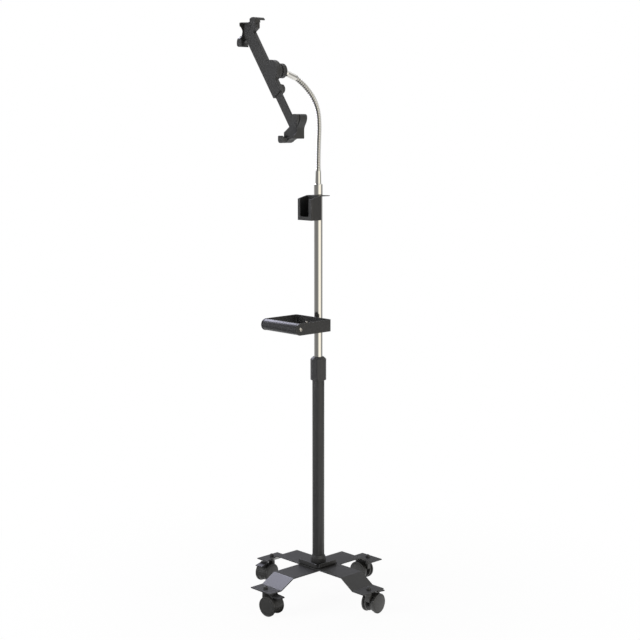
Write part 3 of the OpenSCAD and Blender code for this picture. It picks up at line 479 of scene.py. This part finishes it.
def hose_tree():
    """A ribbed hose along one stretch of a path, closed at both ends, with its grooves marked for painted shade.
    """
    tree, given, output = new_tree(
        "Ribbed hose",
        {
            "Path": "NodeSocketGeometry",
            "From": "NodeSocketFloat",
            "To": "NodeSocketFloat",
            "Crest radius": "NodeSocketFloat",
            "Root radius": "NodeSocketFloat",
            "Rib pitch": "NodeSocketFloat",
            "Rows": "NodeSocketInt",
            "Turns": "NodeSocketInt",
            "Finish": "NodeSocketMaterial",
        },
    )
    ends = {"Curve": given["Path"], 4: given["From"], 5: given["To"]}
    stretch = add_node(tree, "GeometryNodeTrimCurve", ends, mode="LENGTH").outputs[0]
    rows = {"Curve": stretch, "Count": given["Rows"]}
    line = add_node(tree, "GeometryNodeResampleCurve", rows).outputs[0]
    run = add_node(tree, "GeometryNodeSplineParameter").outputs["Length"]
    reach = add_node(tree, "ShaderNodeMath", {0: run, 1: given["From"]}, operation="ADD").outputs[0]
    ribs = add_node(tree, "ShaderNodeMath", {0: reach, 1: given["Rib pitch"]}, operation="DIVIDE").outputs[0]
    phase = add_node(tree, "ShaderNodeMath", {0: ribs, 1: math.tau}, operation="MULTIPLY").outputs[0]
    # The wave is 1 in the middle of a groove and -1 on the middle of a crest
    wave = add_node(tree, "ShaderNodeMath", {0: phase}, operation="COSINE").outputs[0]
    span = {"Value": wave, "From Min": 0.85, "From Max": -0.95}
    span.update({"To Min": given["Root radius"], "To Max": given["Crest radius"]})
    radius = add_node(tree, "ShaderNodeMapRange", span, interpolation_type="SMOOTHSTEP").outputs["Result"]
    # Marks the grooves, where the hose's finish paints shade
    depth = {"Value": wave, "From Min": 0.3, "From Max": 0.9}
    groove = add_node(tree, "ShaderNodeMapRange", depth, interpolation_type="SMOOTHSTEP").outputs["Result"]
    named = {"Geometry": line, "Name": "groove", "Value": groove}
    line = add_node(
        tree, "GeometryNodeStoreNamedAttribute", named, data_type="FLOAT", domain="POINT"
    ).outputs[0]
    ring = add_node(tree, "GeometryNodeCurvePrimitiveCircle", {"Resolution": given["Turns"], "Radius": 1.0})
    skin = {"Curve": line, "Profile Curve": ring.outputs["Curve"], "Scale": radius, "Fill Caps": True}
    skinned(tree, add_node(tree, "GeometryNodeCurveToMesh", skin).outputs[0], given, output)
    return tree


def fluted_tree():
    """Flutes cut round an upright turned body, fading out above and below its middle."""
    tree, given, output = new_tree(
        "Flutes round a body",
        {
            "Body": "NodeSocketGeometry",
            "Flutes": "NodeSocketInt",
            "Flute depth": "NodeSocketFloat",
            "Middle": "NodeSocketFloat",
            "Full half height": "NodeSocketFloat",
            "Half height": "NodeSocketFloat",
            "Least radius": "NodeSocketFloat",
            "Finish": "NodeSocketMaterial",
        },
    )
    at = add_node(tree, "GeometryNodeInputPosition").outputs[0]
    level = add_node(tree, "ShaderNodeVectorMath", {0: at, 1: (1, 1, 0)}, operation="MULTIPLY").outputs[0]
    outward = add_node(tree, "ShaderNodeVectorMath", {0: level}, operation="NORMALIZE").outputs[0]
    reach = add_node(tree, "ShaderNodeVectorMath", {0: level}, operation="LENGTH").outputs["Value"]
    axes = add_node(tree, "ShaderNodeSeparateXYZ", {0: at}).outputs
    turn = add_node(tree, "ShaderNodeMath", {0: axes["Y"], 1: axes["X"]}, operation="ARCTAN2").outputs[0]
    phase = add_node(tree, "ShaderNodeMath", {0: turn, 1: given["Flutes"]}, operation="MULTIPLY").outputs[0]
    # The wave is 1 in the middle of a flute, and the land between two flutes is left uncut
    wave = add_node(tree, "ShaderNodeMath", {0: phase}, operation="COSINE").outputs[0]
    depth = {"Value": wave, "From Min": -0.6, "From Max": 1.0, "To Min": 0.0, "To Max": given["Flute depth"]}
    cut = add_node(tree, "ShaderNodeMapRange", depth).outputs["Result"]
    rise = {0: axes["Z"], 1: given["Middle"]}
    rise = add_node(tree, "ShaderNodeMath", rise, operation="SUBTRACT").outputs[0]
    away = add_node(tree, "ShaderNodeMath", {0: rise}, operation="ABSOLUTE").outputs[0]
    fade = {"Value": away, "From Min": given["Half height"], "From Max": given["Full half height"]}
    kept = add_node(tree, "ShaderNodeMapRange", fade, interpolation_type="SMOOTHSTEP").outputs["Result"]
    outer = {0: reach, 1: given["Least radius"]}
    outer = add_node(tree, "ShaderNodeMath", outer, operation="GREATER_THAN").outputs[0]
    kept = add_node(tree, "ShaderNodeMath", {0: kept, 1: outer}, operation="MULTIPLY").outputs[0]
    kept = add_node(tree, "ShaderNodeMath", {0: kept, 1: -1.0}, operation="MULTIPLY").outputs[0]
    inward = add_node(tree, "ShaderNodeMath", {0: cut, 1: kept}, operation="MULTIPLY").outputs[0]
    offset = {0: outward, "Scale": inward}
    offset = add_node(tree, "ShaderNodeVectorMath", offset, operation="SCALE").outputs[0]
    moved = {"Geometry": given["Body"], "Offset": offset}
    skinned(tree, add_node(tree, "GeometryNodeSetPosition", moved).outputs[0], given, output)
    return tree


def repeat_tree():
    """One shape set on each point of a mesh."""
    tree, given, output = new_tree(
        "Fastener on each point",
        {"Points": "NodeSocketGeometry", "Shape": "NodeSocketObject", "Finish": "NodeSocketMaterial"},
    )
    shape = add_node(tree, "GeometryNodeObjectInfo", {"Object": given["Shape"], "As Instance": True})
    turns = add_node(tree, "GeometryNodeInputNamedAttribute", {"Name": "turn"}, data_type="FLOAT_VECTOR")
    turn = add_node(tree, "FunctionNodeEulerToRotation", {"Euler": turns.outputs[0]})
    spots = {"Points": given["Points"], "Instance": shape.outputs["Geometry"], "Rotation": turn.outputs[0]}
    coated(tree, add_node(tree, "GeometryNodeInstanceOnPoints", spots).outputs[0], given, output)
    return tree


def smooth_path(name, points):
    """A smooth curve through points."""
    curve = bpy.data.curves.new(name, "CURVE")
    curve.dimensions = "3D"
    curve.resolution_u = PATH_STEPS
    spline = curve.splines.new("BEZIER")
    spline.bezier_points.add(len(points) - 1)
    for knot, point in zip(spline.bezier_points, points):
        knot.co = point
        knot.handle_left_type = knot.handle_right_type = "AUTO"
    return curve


def run_to_knots(curve):
    """Length along a smooth curve up to each of its knots."""
    knots = curve.splines[0].bezier_points
    lengths = [0.0]
    for one, two in zip(knots, knots[1:]):
        steps = interpolate_bezier(one.co, one.handle_right, two.handle_left, two.co, PATH_STEPS + 1)
        lengths.append(lengths[-1] + sum((b - a).length for a, b in zip(steps, steps[1:])))
    return lengths


def fluted(body, flutes, depth, low, high, fade, least):
    """Cuts flutes round an upright turned body between two heights."""
    values = {
        "Flutes": flutes, "Flute depth": depth, "Middle": (low + high) / 2, "Half height": (high - low) / 2,
        "Full half height": (high - low) / 2 - fade, "Least radius": least, "Finish": body.data.materials[0],
    }
    name = body.name
    body.name = name + "_plain"
    piece = run_tree(name, fluted_tree(), body.data, values)
    bpy.data.objects.remove(body)
    return piece


def repeated(name, shape, spots, finish):
    """Copies of a shape, one on each (point, turn) of a list, as one piece."""
    mesh = bpy.data.meshes.new(name)
    mesh.from_pydata([tuple(point) for point, _ in spots], [], [])
    turns = mesh.attributes.new("turn", "FLOAT_VECTOR", "POINT")
    for item, (_, turn) in zip(turns.data, spots):
        item.vector = turn
    piece = run_tree(name, repeat_tree(), mesh, {"Shape": shape, "Finish": FINISHES[finish]})
    bpy.data.objects.remove(shape)
    return piece


# Sizes shared with the solids, in metres

STRIP_W, STRIP_T, BEND_R = 66 * MM, 2.5 * MM, 3 * MM
DECK_R, SLOPE_END, TIP_R, STEM_R = 110 * MM, 146.6 * MM, 182 * MM, 166 * MM
FLANGE_Z, DECK_Z, PLATE_Z = 54.4 * MM, 79.5 * MM, 82 * MM
LOWER_BORE_R, LOWER_R, UPPER_BORE_R, UPPER_R = 12.5 * MM, 14 * MM, 8.3 * MM, 9.5 * MM
TUBE_FOOT, TUBE_TOP = PLATE_Z + 5 * MM, 544.5 * MM
MAST_Z, MAST_TOP = 266 * MM, 944 * MM
HANDLE_Z, HANDLE_REACH, HANDLE_W, SLEEVE_INSET = 655 * MM, 110 * MM, 117 * MM, 2.8 * MM
CLAMP_FRONT, CLAMP_SPREAD, CLAMP_DROP = -16.5 * MM, 23 * MM, 2 * MM
NECK_Z, LINK_L = 1001.6 * MM, 29 * MM
NECK_HEADINGS = (0, -2, -3, 0, 13, 34, 47, 57, 72)
LINKS = len(NECK_HEADINGS) - 1

# How the hose is drawn: its end in the ferrule, the reach of its blend at a joint, and its fineness
HOSE_TAIL, BLEND_REACH = 4 * MM, 12 * MM
ROWS_PER_RIB, HOSE_TURNS, HOSE_SHARP = 20, 48, 60


def neck_joint(k):
    """Middle of the gooseneck's joint k."""
    forward, up = 0.0, NECK_Z
    for heading in NECK_HEADINGS[:k]:
        forward += LINK_L * math.sin(math.radians(heading))
        up += LINK_L * math.cos(math.radians(heading))
    return Vector((0, -forward, up))


def neck_course(k):
    """Direction of the gooseneck's stretch k."""
    heading = math.radians(NECK_HEADINGS[k])
    return Vector((0, -math.sin(heading), math.cos(heading)))


def leg_place(leg):
    """Placement of a leg's caster, with its stem on the local Z axis."""
    return Matrix.Rotation(math.radians(90 * leg), 4, "Z") @ Matrix.Translation((0, -STEM_R, 0))


class STAND_OT_base(bpy.types.Operator):
    """Builds the crossed strips, the centre plate, the foot and the stem nuts."""

    bl_idname = "stand.base"
    bl_label = "Base"

    def execute(self, context):
        edge = sizes().sheet_edge
        flange = FLANGE_Z + STRIP_T / 2
        for node, top, turn in (("base_upper_strip", DECK_Z, 0), ("base_lower_strip", DECK_Z - STRIP_T, 90)):
            half = [(DECK_R, top - STRIP_T / 2), (SLOPE_END, flange), (TIP_R, flange)]
            path = [(-x, z) for x, z in reversed(half)] + half
            strip = bent_sheet(node + "_dressed", path, BEND_R, STRIP_T, STRIP_W, "powder", edge)
            strip.data.transform(Matrix.Rotation(math.radians(turn), 4, "Z"))
            dressed(strip, "base", node)
        plate = from_node("centre_plate", "powder", edge)
        dressed(plate, "base", "centre_plate")
        profile = outline_mm(
            (5.05, 0), (18, 0), (18, 14, 1.5), (14.55, 20), (14.05, 20), (14.05, 5), (5.05, 5), up=PLATE_Z
        )
        foot = turned("post_foot_dressed", profile, "powder", radius=0.3 * MM)
        dressed(foot, "base", "post_foot")
        profile = outline_mm(
            (0, 0), (4.8, 0), (5, 0.2), (5, 2.6), (4.9, 3.8), (4.5, 5.1), (3.7, 6.3), (2.6, 7.1), (1.3, 7.5),
            (0, 7.6),
        )
        nut = turned("stem_nut", profile, "plastic", segments=48)
        seat = FLANGE_Z + STRIP_T
        spots = [(leg_place(leg) @ Vector((0, 0, seat)), (0, 0, 0)) for leg in range(len(LEGS))]
        nuts = repeated("caster_nuts_dressed", nut, spots, "plastic")
        dressed(nuts, "base", "caster_nuts")
        return {"FINISHED"}


class STAND_OT_post(bpy.types.Operator):
    """Builds the two tubes of the post and the twist-lock collar."""

    bl_idname = "stand.post"
    bl_label = "Post"

    def execute(self, context):
        lower = tube("lower_tube_dressed", LOWER_BORE_R, LOWER_R, TUBE_FOOT, TUBE_TOP, "powder", 96)
        dressed(lower, "base", "lower_tube")
        upper = tube("upper_tube_dressed", UPPER_BORE_R, UPPER_R, MAST_Z, MAST_TOP, "chrome", 128)
        dressed(upper, "mast", "upper_tube")
        low, high = (corner.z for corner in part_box("lock_collar"))
        profile = outline_mm((16.4, 0), (18.25, 0, 1.2), up=low)
        profile += outline_mm(
            (18.25, -5.5, 1.6), (13, -0.4, 0.8), (12.4, 0), (10, 0), (10, -3), (16.4, -3), up=high
        )
        collar = turned(
            "lock_collar_dressed", profile, "plastic", segments=200, radius=0.3 * MM, step=1 * MM
        )
        flutes, depth = sizes().collar_flutes, sizes().collar_flute_depth
        margin, fade, least = 0.8 * MM, 2.5 * MM, 13.2 * MM
        collar = fluted(collar, flutes, depth, low + margin, high - margin, fade, least)
        dressed(collar, "lock_collar", "lock_collar")
        return {"FINISHED"}


class STAND_OT_handle(bpy.types.Operator):
    """Builds the push handle, its grip and its fasteners."""

    bl_idname = "stand.handle"
    bl_label = "Handle"

    def execute(self, context):
        for node, finish, slot, radius in (
            ("handle_bracket", "powder", "powder_coat", sizes().sheet_edge),
            ("handle_strap", "powder", "powder_coat", 0.3 * MM),
            ("handle_saddle", "plastic", "black_plastic", 0.4 * MM),
        ):
            dressed(from_node(node, finish, radius), "mast", node)
        middle = Vector((0, -HANDLE_REACH, HANDLE_Z))
        half = HANDLE_W / 2 - SLEEVE_INSET
        profile = outline_mm((7.05, 0), (13, 0, 1.4), up=-half) + outline_mm((13, 0, 1.4), (7.05, 0), up=half)
        sleeve = turned("grip_sleeve_dressed", profile, "rubber", along(middle, (1, 0, 0)), segments=96)
        dressed(sleeve, "mast", "grip_sleeve")
        profile = outline_mm(
            (0, 0.9), (1.6, 0.9), (2, 2.4), (3.2, 2.4, 0.8), (4.8, 0, 0.2), (2.5, 0), (2.5, -15.5), (0, -16)
        )
        screw = turned("grip_screw", profile, "zinc", segments=48, radius=0.1 * MM)
        spots = [
            (middle + Vector((side * HANDLE_W / 2, 0, 0)), (0, side * math.pi / 2, 0)) for side in (-1, 1)
        ]
        screws = repeated("grip_screws_dressed", screw, spots, "zinc")
        dressed(screws, "mast", "grip_screws")
        profile = outline_mm(
            (0, 0.8), (1.5, 0.8), (1.8, 2.2), (2.6, 2.2, 0.6), (4.2, 0, 0.2), (2.5, 0), (2.5, -9.5), (0, -9.5)
        )
        screw = turned("clamp_screw", profile, "zinc", segments=40, radius=0.1 * MM)
        height = HANDLE_Z - CLAMP_DROP
        spots = [
            (Vector((side * CLAMP_SPREAD, CLAMP_FRONT, height)), (math.pi / 2, 0, 0)) for side in (-1, 1)
        ]
        screws = repeated("handle_clamp_screws_dressed", screw, spots, "zinc")
        dressed(screws, "mast", "handle_clamp_screws")
        return {"FINISHED"}


class STAND_OT_pocket(bpy.types.Operator):
    """Builds the open pocket and its top plate."""

    bl_idname = "stand.pocket"
    bl_label = "Pocket"

    def execute(self, context):
        pocket = from_node("pocket", "powder", sizes().sheet_edge)
        dressed(pocket, "mast", "pocket")
        return {"FINISHED"}


class STAND_OT_gooseneck(bpy.types.Operator):
    """Builds the connector, the ribbed hose and its end ferrule."""

    bl_idname = "stand.gooseneck"
    bl_label = "Gooseneck"

    def execute(self, context):
        profile = outline_mm(
            (0, -18), (8.2, -18), (8.2, 1.6), (9.75, 1.6, 0.5), (9.75, 25.6, 1), (7.75, 27.6, 0.7),
            (6.7, 27.6, 0.2), up=MAST_TOP,
        )
        profile += outline_mm((6, 0, 0.5), (0, 0), up=NECK_Z)
        connector = turned("neck_connector_dressed", profile, "chrome", segments=96)
        dressed(connector, "mast", "neck_connector")
        joints = [neck_joint(k) for k in range(LINKS + 1)]
        middles = [(a + b) / 2 for a, b in zip(joints, joints[1:])]
        path = smooth_path("hose_path", [joints[0], *middles, joints[-1] + HOSE_TAIL * neck_course(LINKS)])
        stops = run_to_knots(path)
        tree = hose_tree()
        crest, pitch = sizes().hose_d / 2, sizes().rib_pitch
        for k, (start, stop) in enumerate(zip(stops, stops[1:])):
            values = {
                "From": start, "To": stop, "Crest radius": crest, "Root radius": crest - sizes().rib_depth,
                "Rib pitch": pitch, "Rows": math.ceil(ROWS_PER_RIB * (stop - start) / pitch),
                "Turns": HOSE_TURNS, "Finish": FINISHES["hose"],
            }
            piece = run_tree("hose_%d" % k, tree, path, values, sharp=HOSE_SHARP)
            if k == 0:
                dressed(piece, "mast", "gooseneck_1")
                continue
            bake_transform(piece)
            if k < LINKS:
                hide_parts("gooseneck_%d" % (k + 1))
        profile = outline_mm(
            (0, 1.5), (5.8, 1.5, 0.3), (6.4, 7, 2), (6.4, 31, 1), (4.5, 35, 0.5), (0, 35)
        )
        place = along(joints[-1], neck_course(LINKS))
        ferrule = turned("neck_end_ferrule_dressed", profile, "chrome", place)
        dressed(ferrule, "neck_end", "neck_end_ferrule")
        return {"FINISHED"}


class STAND_OT_holder(bpy.types.Operator):
    """Builds the ball joint, the hub, the diagonal arm and the two corner grips."""

    bl_idname = "stand.holder"
    bl_label = "Holder"

    def execute(self, context):
        edge = sizes().moulded_edge
        fine_edge = 0.6 * edge
        crowded = ("holder_arm", "upper_grip", "lower_grip", "clamp_knob")
        for node, body, finish, slot, radius in (
            ("holder_arm", "holder", "plastic", "black_plastic", edge),
            ("hub_plate", "holder", "plastic", "black_plastic", edge),
            ("upper_grip", "holder", "plastic", "black_plastic", fine_edge),
            ("upper_grip_pads", "holder", "rubber", "rubber", 0.15 * MM),
            ("sliding_bar", "slider", "plastic", "black_plastic", 0.4 * MM),
            ("lower_grip", "slider", "plastic", "black_plastic", fine_edge),
            ("lower_grip_pads", "slider", "rubber", "rubber", 0.15 * MM),
            ("ball_socket", "ball_socket", "plastic", "black_plastic", 0.4 * MM),
            ("ball_lock_nut", "ball_nut", "plastic", "black_plastic", 0.4 * MM),
            ("clamp_knob", "clamp", "plastic", "black_plastic", fine_edge),
        ):
            dressed(from_node(node, finish, radius, node in crowded), body, node)
        return {"FINISHED"}


class STAND_OT_casters(bpy.types.Operator):
    """Builds the twin-wheel casters."""

    bl_idname = "stand.casters"
    bl_label = "Casters"

    def execute(self, context):
        # Half of a pair of wheels in millimetres from its middle: drum, tread, groove and dished face
        tread, face, dish = 23, 18.5, 19.1
        half = outline_mm(
            (3, 6.3), (20.5, 6.3, 0.3), (20.5, 13), (22.4, 13, 0.3), (tread, 13.6, 0.6), (tread, 17.3, 1.4),
            (20.6, 17.4, 0.5), (20.2, 16.9, 0.2), (19.6, 16.9, 0.2), (dish, 17.5, 0.4),
            *((r, face - (r / dish) ** 2) for r in (16, 12, 8, 4)), (0, face),
        )
        pair = half + [(r, -h, *own) for r, h, *own in reversed(half)]
        joints = {joint["name"]: joint for joint in frame["joints"]}
        for name in LEGS:
            hood, pedal = name + "_caster_hood", name + "_brake_pedal"
            cover = from_node(hood, "nylon", 0.25 * MM, crowded=True)
            dressed(cover, name + "_caster", hood)
            dressed(from_node(pedal, "rubber"), name + "_pedal", pedal)
            axle = joints[name + "_wheel_spin"]
            place = along(Vector(axle["pos_m"]), axle["axis"])
            wheels = turned(name + "_wheels_dressed", pair, "nylon", place, segments=112)
            dressed(wheels, name + "_wheels", name + "_caster_wheels")
        return {"FINISHED"}


class STAND_OT_fittings(bpy.types.Operator):
    """Gives the remaining solids their finishes."""

    bl_idname = "stand.fittings"
    bl_label = "Fittings"

    def execute(self, context):
        finish_of = {
            "powder_coat": "powder", "chrome": "chrome", "zinc_steel": "zinc", "black_steel": "plastic",
            "black_plastic": "plastic", "wheel_plastic": "nylon", "rubber": "rubber",
        }
        slots = {part["node"]: part["material_slot"] for part in frame["record"]["subparts"]}
        for name, node in frame["nodes"].items():
            node.data.materials.clear()
            node.data.materials.append(FINISHES[finish_of[slots[name]]])
        return {"FINISHED"}


# Studio: distances in metres, angles in degrees

IMAGE_SIDE, FOCAL_PIXELS, SENSOR_MM, CLIP_END = 640, 1361.19, 36, 50
CAMERA_AT, CAMERA_DOWN, CAMERA_TURN = (2.2454, -2.1314, 1.1093), 8.266, 46.42
PLAIN_LEVEL, WHITE_LEVEL = 0.26, 1.0
FLOOR_SIZE = 12
# What only reflections see turns about this direction, which is the camera's
FACING = 46.4
SWEEP_STEP = 3
RING_R, RING_LOW, RING_HIGH = 2.9, -0.2, 2.6
# Light levels of the ring: angle from the camera's direction, sRGB code, strength
RING_KEYS = (
    (-180, "#969698", 1), (-150, "#b0b0b2", 1), (-122, "#b8b8ba", 1), (-100, "#949496", 1),
    (-84, "#8a8a8b", 1), (-26, "#868686", 1), (-6, "#a0a09f", 1), (6, "#d8d7d2", 1),
    (14, "#fffaee", 1.4), (68, "#fffaee", 1.4), (78, "#c0bfbd", 1), (90, "#a2a2a2", 1),
    (138, "#a4a4a5", 1), (160, "#a0a0a2", 1), (180, "#969698", 1),
)
DARK_FROM, DARK_TO, DARK_IN, DARK_OUT, DARK_LOW = -122, -2, 0.1, 2.88, 0.004
DARK_LEVEL = "#303032"


def reflected(name, points, faces, levels):
    """A studio panel that only reflections see, with a light level at each of its points."""
    mesh = bpy.data.meshes.new(name)
    mesh.from_pydata(points, [], faces)
    glow = mesh.color_attributes.new("glow", "FLOAT_COLOR", "POINT")
    for item, level in zip(glow.data, levels):
        item.color = (*level, 1)
    material = bpy.data.materials.new(name)
    tree = bare_tree(material)
    level = add_node(tree, "ShaderNodeAttribute", attribute_name="glow").outputs["Color"]
    light = add_node(tree, "ShaderNodeEmission", {"Color": level, "Strength": 1.0})
    add_node(tree, "ShaderNodeOutputMaterial", {"Surface": light.outputs[0]})
    mesh.materials.append(material)
    panel = linked(name, mesh)
    panel.visible_camera = panel.visible_diffuse = False
    panel.visible_shadow = panel.visible_transmission = False


def sweep(start, stop, first, second):
    """Angles, points and faces of a band round the object between two (radius, height) edges."""
    count = max(1, math.ceil((stop - start) / SWEEP_STEP))
    turns = [start + (stop - start) * k / count for k in range(count + 1)]
    points = [
        (r * math.sin(math.radians(turn)), -r * math.cos(math.radians(turn)), h)
        for turn in turns for r, h in (first, second)
    ]
    return turns, points, [(2 * k, 2 * k + 2, 2 * k + 3, 2 * k + 1) for k in range(count)]


def level_at(turn):
    """Light level of the ring at an angle from the camera's direction."""
    for (one, code, strength), (two, next_code, next_strength) in zip(RING_KEYS, RING_KEYS[1:]):
        if one <= turn <= two:
            share = (turn - one) / (two - one)
            pairs = zip(srgb(code), srgb(next_code))
            return tuple((1 - share) * strength * a + share * next_strength * b for a, b in pairs)
    raise ValueError("no light level is given at %g degrees" % turn)


def soft_box(name, at, aim, size, power, tint, sheen=False):
    """A rectangular studio lamp aimed at a point, which gives either plain light or only a sheen."""
    lamp = bpy.data.lights.new(name, "AREA")
    lamp.shape = "RECTANGLE"
    lamp.size, lamp.size_y = size
    lamp.energy = power
    lamp.color = srgb(tint)
    box = linked(name, lamp)
    box.location = at
    box.rotation_euler = (Vector(aim) - Vector(at)).to_track_quat("-Z", "Y").to_euler()
    box.visible_glossy, box.visible_diffuse = sheen, not sheen


def seen_by(tree, *rays):
    """A factor that is 1 for the kinds of ray that are named."""
    path = add_node(tree, "ShaderNodeLightPath").outputs
    seen = path[rays[0]]
    for ray in rays[1:]:
        seen = add_node(tree, "ShaderNodeMath", {0: seen, 1: path[ray]}, operation="MAXIMUM").outputs[0]
    return seen


def place_camera(scene):
    """Sets the camera at the photograph's viewing angle."""
    lens = bpy.data.cameras.new("camera")
    lens.sensor_fit = "HORIZONTAL"
    lens.sensor_width = SENSOR_MM
    lens.lens = SENSOR_MM * FOCAL_PIXELS / IMAGE_SIDE
    lens.clip_end = CLIP_END
    camera = linked("camera", lens)
    camera.location = CAMERA_AT
    camera.rotation_euler = (math.radians(90 - CAMERA_DOWN), 0, math.radians(CAMERA_TURN))
    scene.camera = camera


def set_surroundings(scene):
    """White surroundings for the camera, reflections and glass; a plain level for diffuse light."""
    world = bpy.data.worlds.new("surroundings")
    tree = bare_tree(world)
    seen = seen_by(tree, "Is Camera Ray", "Is Glossy Ray", "Is Transmission Ray")
    plain = add_node(tree, "ShaderNodeBackground", {"Color": (1, 1, 1, 1), "Strength": PLAIN_LEVEL})
    white = add_node(tree, "ShaderNodeBackground", {"Color": (1, 1, 1, 1), "Strength": WHITE_LEVEL})
    mix = add_node(tree, "ShaderNodeMixShader", {0: seen, 1: plain.outputs[0], 2: white.outputs[0]})
    add_node(tree, "ShaderNodeOutputWorld", {"Surface": mix.outputs[0]})
    scene.world = world


def lay_floor():
    """A pale floor: white to the camera, with part of the soft shadow kept near the object."""
    mesh = bpy.data.meshes.new("floor")
    bm = bmesh.new()
    bmesh.ops.create_grid(bm, x_segments=1, y_segments=1, size=FLOOR_SIZE)
    bm.to_mesh(mesh)
    bm.free()
    floor = linked("floor", mesh)
    pale = bpy.data.materials.new("pale studio floor")
    tree = bare_tree(pale)
    seen = seen_by(tree, "Is Camera Ray", "Is Glossy Ray")
    where = add_node(tree, "ShaderNodeTexCoord").outputs["Object"]
    away = add_node(tree, "ShaderNodeVectorMath", {0: where}, operation="LENGTH").outputs["Value"]
    fade = {"Value": away, "From Min": 0.2, "From Max": 1.0, "To Min": 0.95, "To Max": 1.0}
    white = add_node(tree, "ShaderNodeMapRange", fade, interpolation_type="SMOOTHSTEP").outputs["Result"]
    seen = add_node(tree, "ShaderNodeMath", {0: seen, 1: white}, operation="MULTIPLY").outputs[0]
    matt = add_node(tree, "ShaderNodeBsdfDiffuse", {"Color": (0.9, 0.9, 0.9, 1)})
    glow = add_node(tree, "ShaderNodeEmission", {"Color": (1, 1, 1, 1), "Strength": WHITE_LEVEL})
    mix = add_node(tree, "ShaderNodeMixShader", {0: seen, 1: matt.outputs[0], 2: glow.outputs[0]})
    add_node(tree, "ShaderNodeOutputMaterial", {"Surface": mix.outputs[0]})
    mesh.materials.append(pale)


def set_lamps():
    """Sets soft boxes round the object."""
    middle = (0, 0, 0.6)
    soft_box("left box", (-2.3, 0.56, 2.4), middle, size=(1.8, 1.8), power=12, tint="#f6f8ff")
    soft_box(
        "left sheen", (-2.1, 0.5, 2.2), (0, 0, 0.3), size=(1.5, 1.5), power=56, tint="#e0e0f6", sheen=True
    )
    soft_box("right box", (2.5, 0.75, 1.0), (0, 0, 0.8), size=(3.0, 1.2), power=26, tint="#fff8ec")
    soft_box("front box", (-0.9, -2.5, 0.9), middle, size=(1.6, 1.6), power=78, tint="#fdfdff")
    soft_box("back box", (-0.9, 2.5, 0.9), middle, size=(1.6, 1.6), power=30, tint="#fdfdff")


def set_reflections():
    """A ring gives the chrome its bands; a dark floor and ceiling to the left pick out the hose's ribs."""
    turns, points, faces = sweep(FACING - 180, FACING + 180, (RING_R, RING_LOW), (RING_R, RING_HIGH))
    levels = [level_at(min(180, max(-180, turn - FACING))) for turn in turns for _ in range(2)]
    reflected("reflected ring", points, faces, levels)
    for name, height in (("reflected floor", DARK_LOW), ("reflected ceiling", RING_HIGH)):
        edges = (DARK_IN, height), (DARK_OUT, height)
        _, points, faces = sweep(FACING + DARK_FROM, FACING + DARK_TO, *edges)
        reflected(name, points, faces, [srgb(DARK_LEVEL)] * len(points))


class STAND_OT_stage(bpy.types.Operator):
    """Sets up the camera, the white surroundings, the pale floor, the lamps and the reflections."""

    bl_idname = "stand.stage"
    bl_label = "Stage"

    def execute(self, context):
        scene = context.scene
        scene.view_settings.view_transform = "Standard"
        place_camera(scene)
        set_surroundings(scene)
        lay_floor()
        set_lamps()
        set_reflections()
        return {"FINISHED"}


class STAND_PT_panel(bpy.types.Panel):
    """Lists the stand's sizes, colours and steps."""

    bl_idname = "STAND_PT_panel"
    bl_label = "Floor stand"
    bl_space_type = "VIEW_3D"
    bl_region_type = "UI"
    bl_category = "Floor stand"

    def draw(self, context):
        layout = self.layout
        for group in (context.scene.stand_sizes, context.scene.stand_colours):
            for key in group.__annotations__:
                layout.prop(group, key)
        for step in STEPS:
            layout.operator(step.bl_idname)


STEPS = (
    STAND_OT_stage, STAND_OT_base, STAND_OT_post, STAND_OT_handle, STAND_OT_pocket, STAND_OT_gooseneck,
    STAND_OT_holder, STAND_OT_casters, STAND_OT_fittings,
)
CLASSES = (StandSizes, StandColours, *STEPS, STAND_PT_panel)


def register():
    """Registers the classes and the scene's properties."""
    for kind in CLASSES:
        bpy.utils.register_class(kind)
    bpy.types.Scene.stand_sizes = PointerProperty(type=StandSizes)
    bpy.types.Scene.stand_colours = PointerProperty(type=StandColours)


def unregister():
    """Removes the scene's properties and the classes."""
    del bpy.types.Scene.stand_colours
    del bpy.types.Scene.stand_sizes
    for kind in reversed(CLASSES):
        bpy.utils.unregister_class(kind)


def main():
    """Builds the stand step by step."""
    register()
    make_finishes()
    for step in STEPS:
        module, action = step.bl_idname.split(".")
        getattr(getattr(bpy.ops, module), action)()


if __name__ == "__main__":
    main()
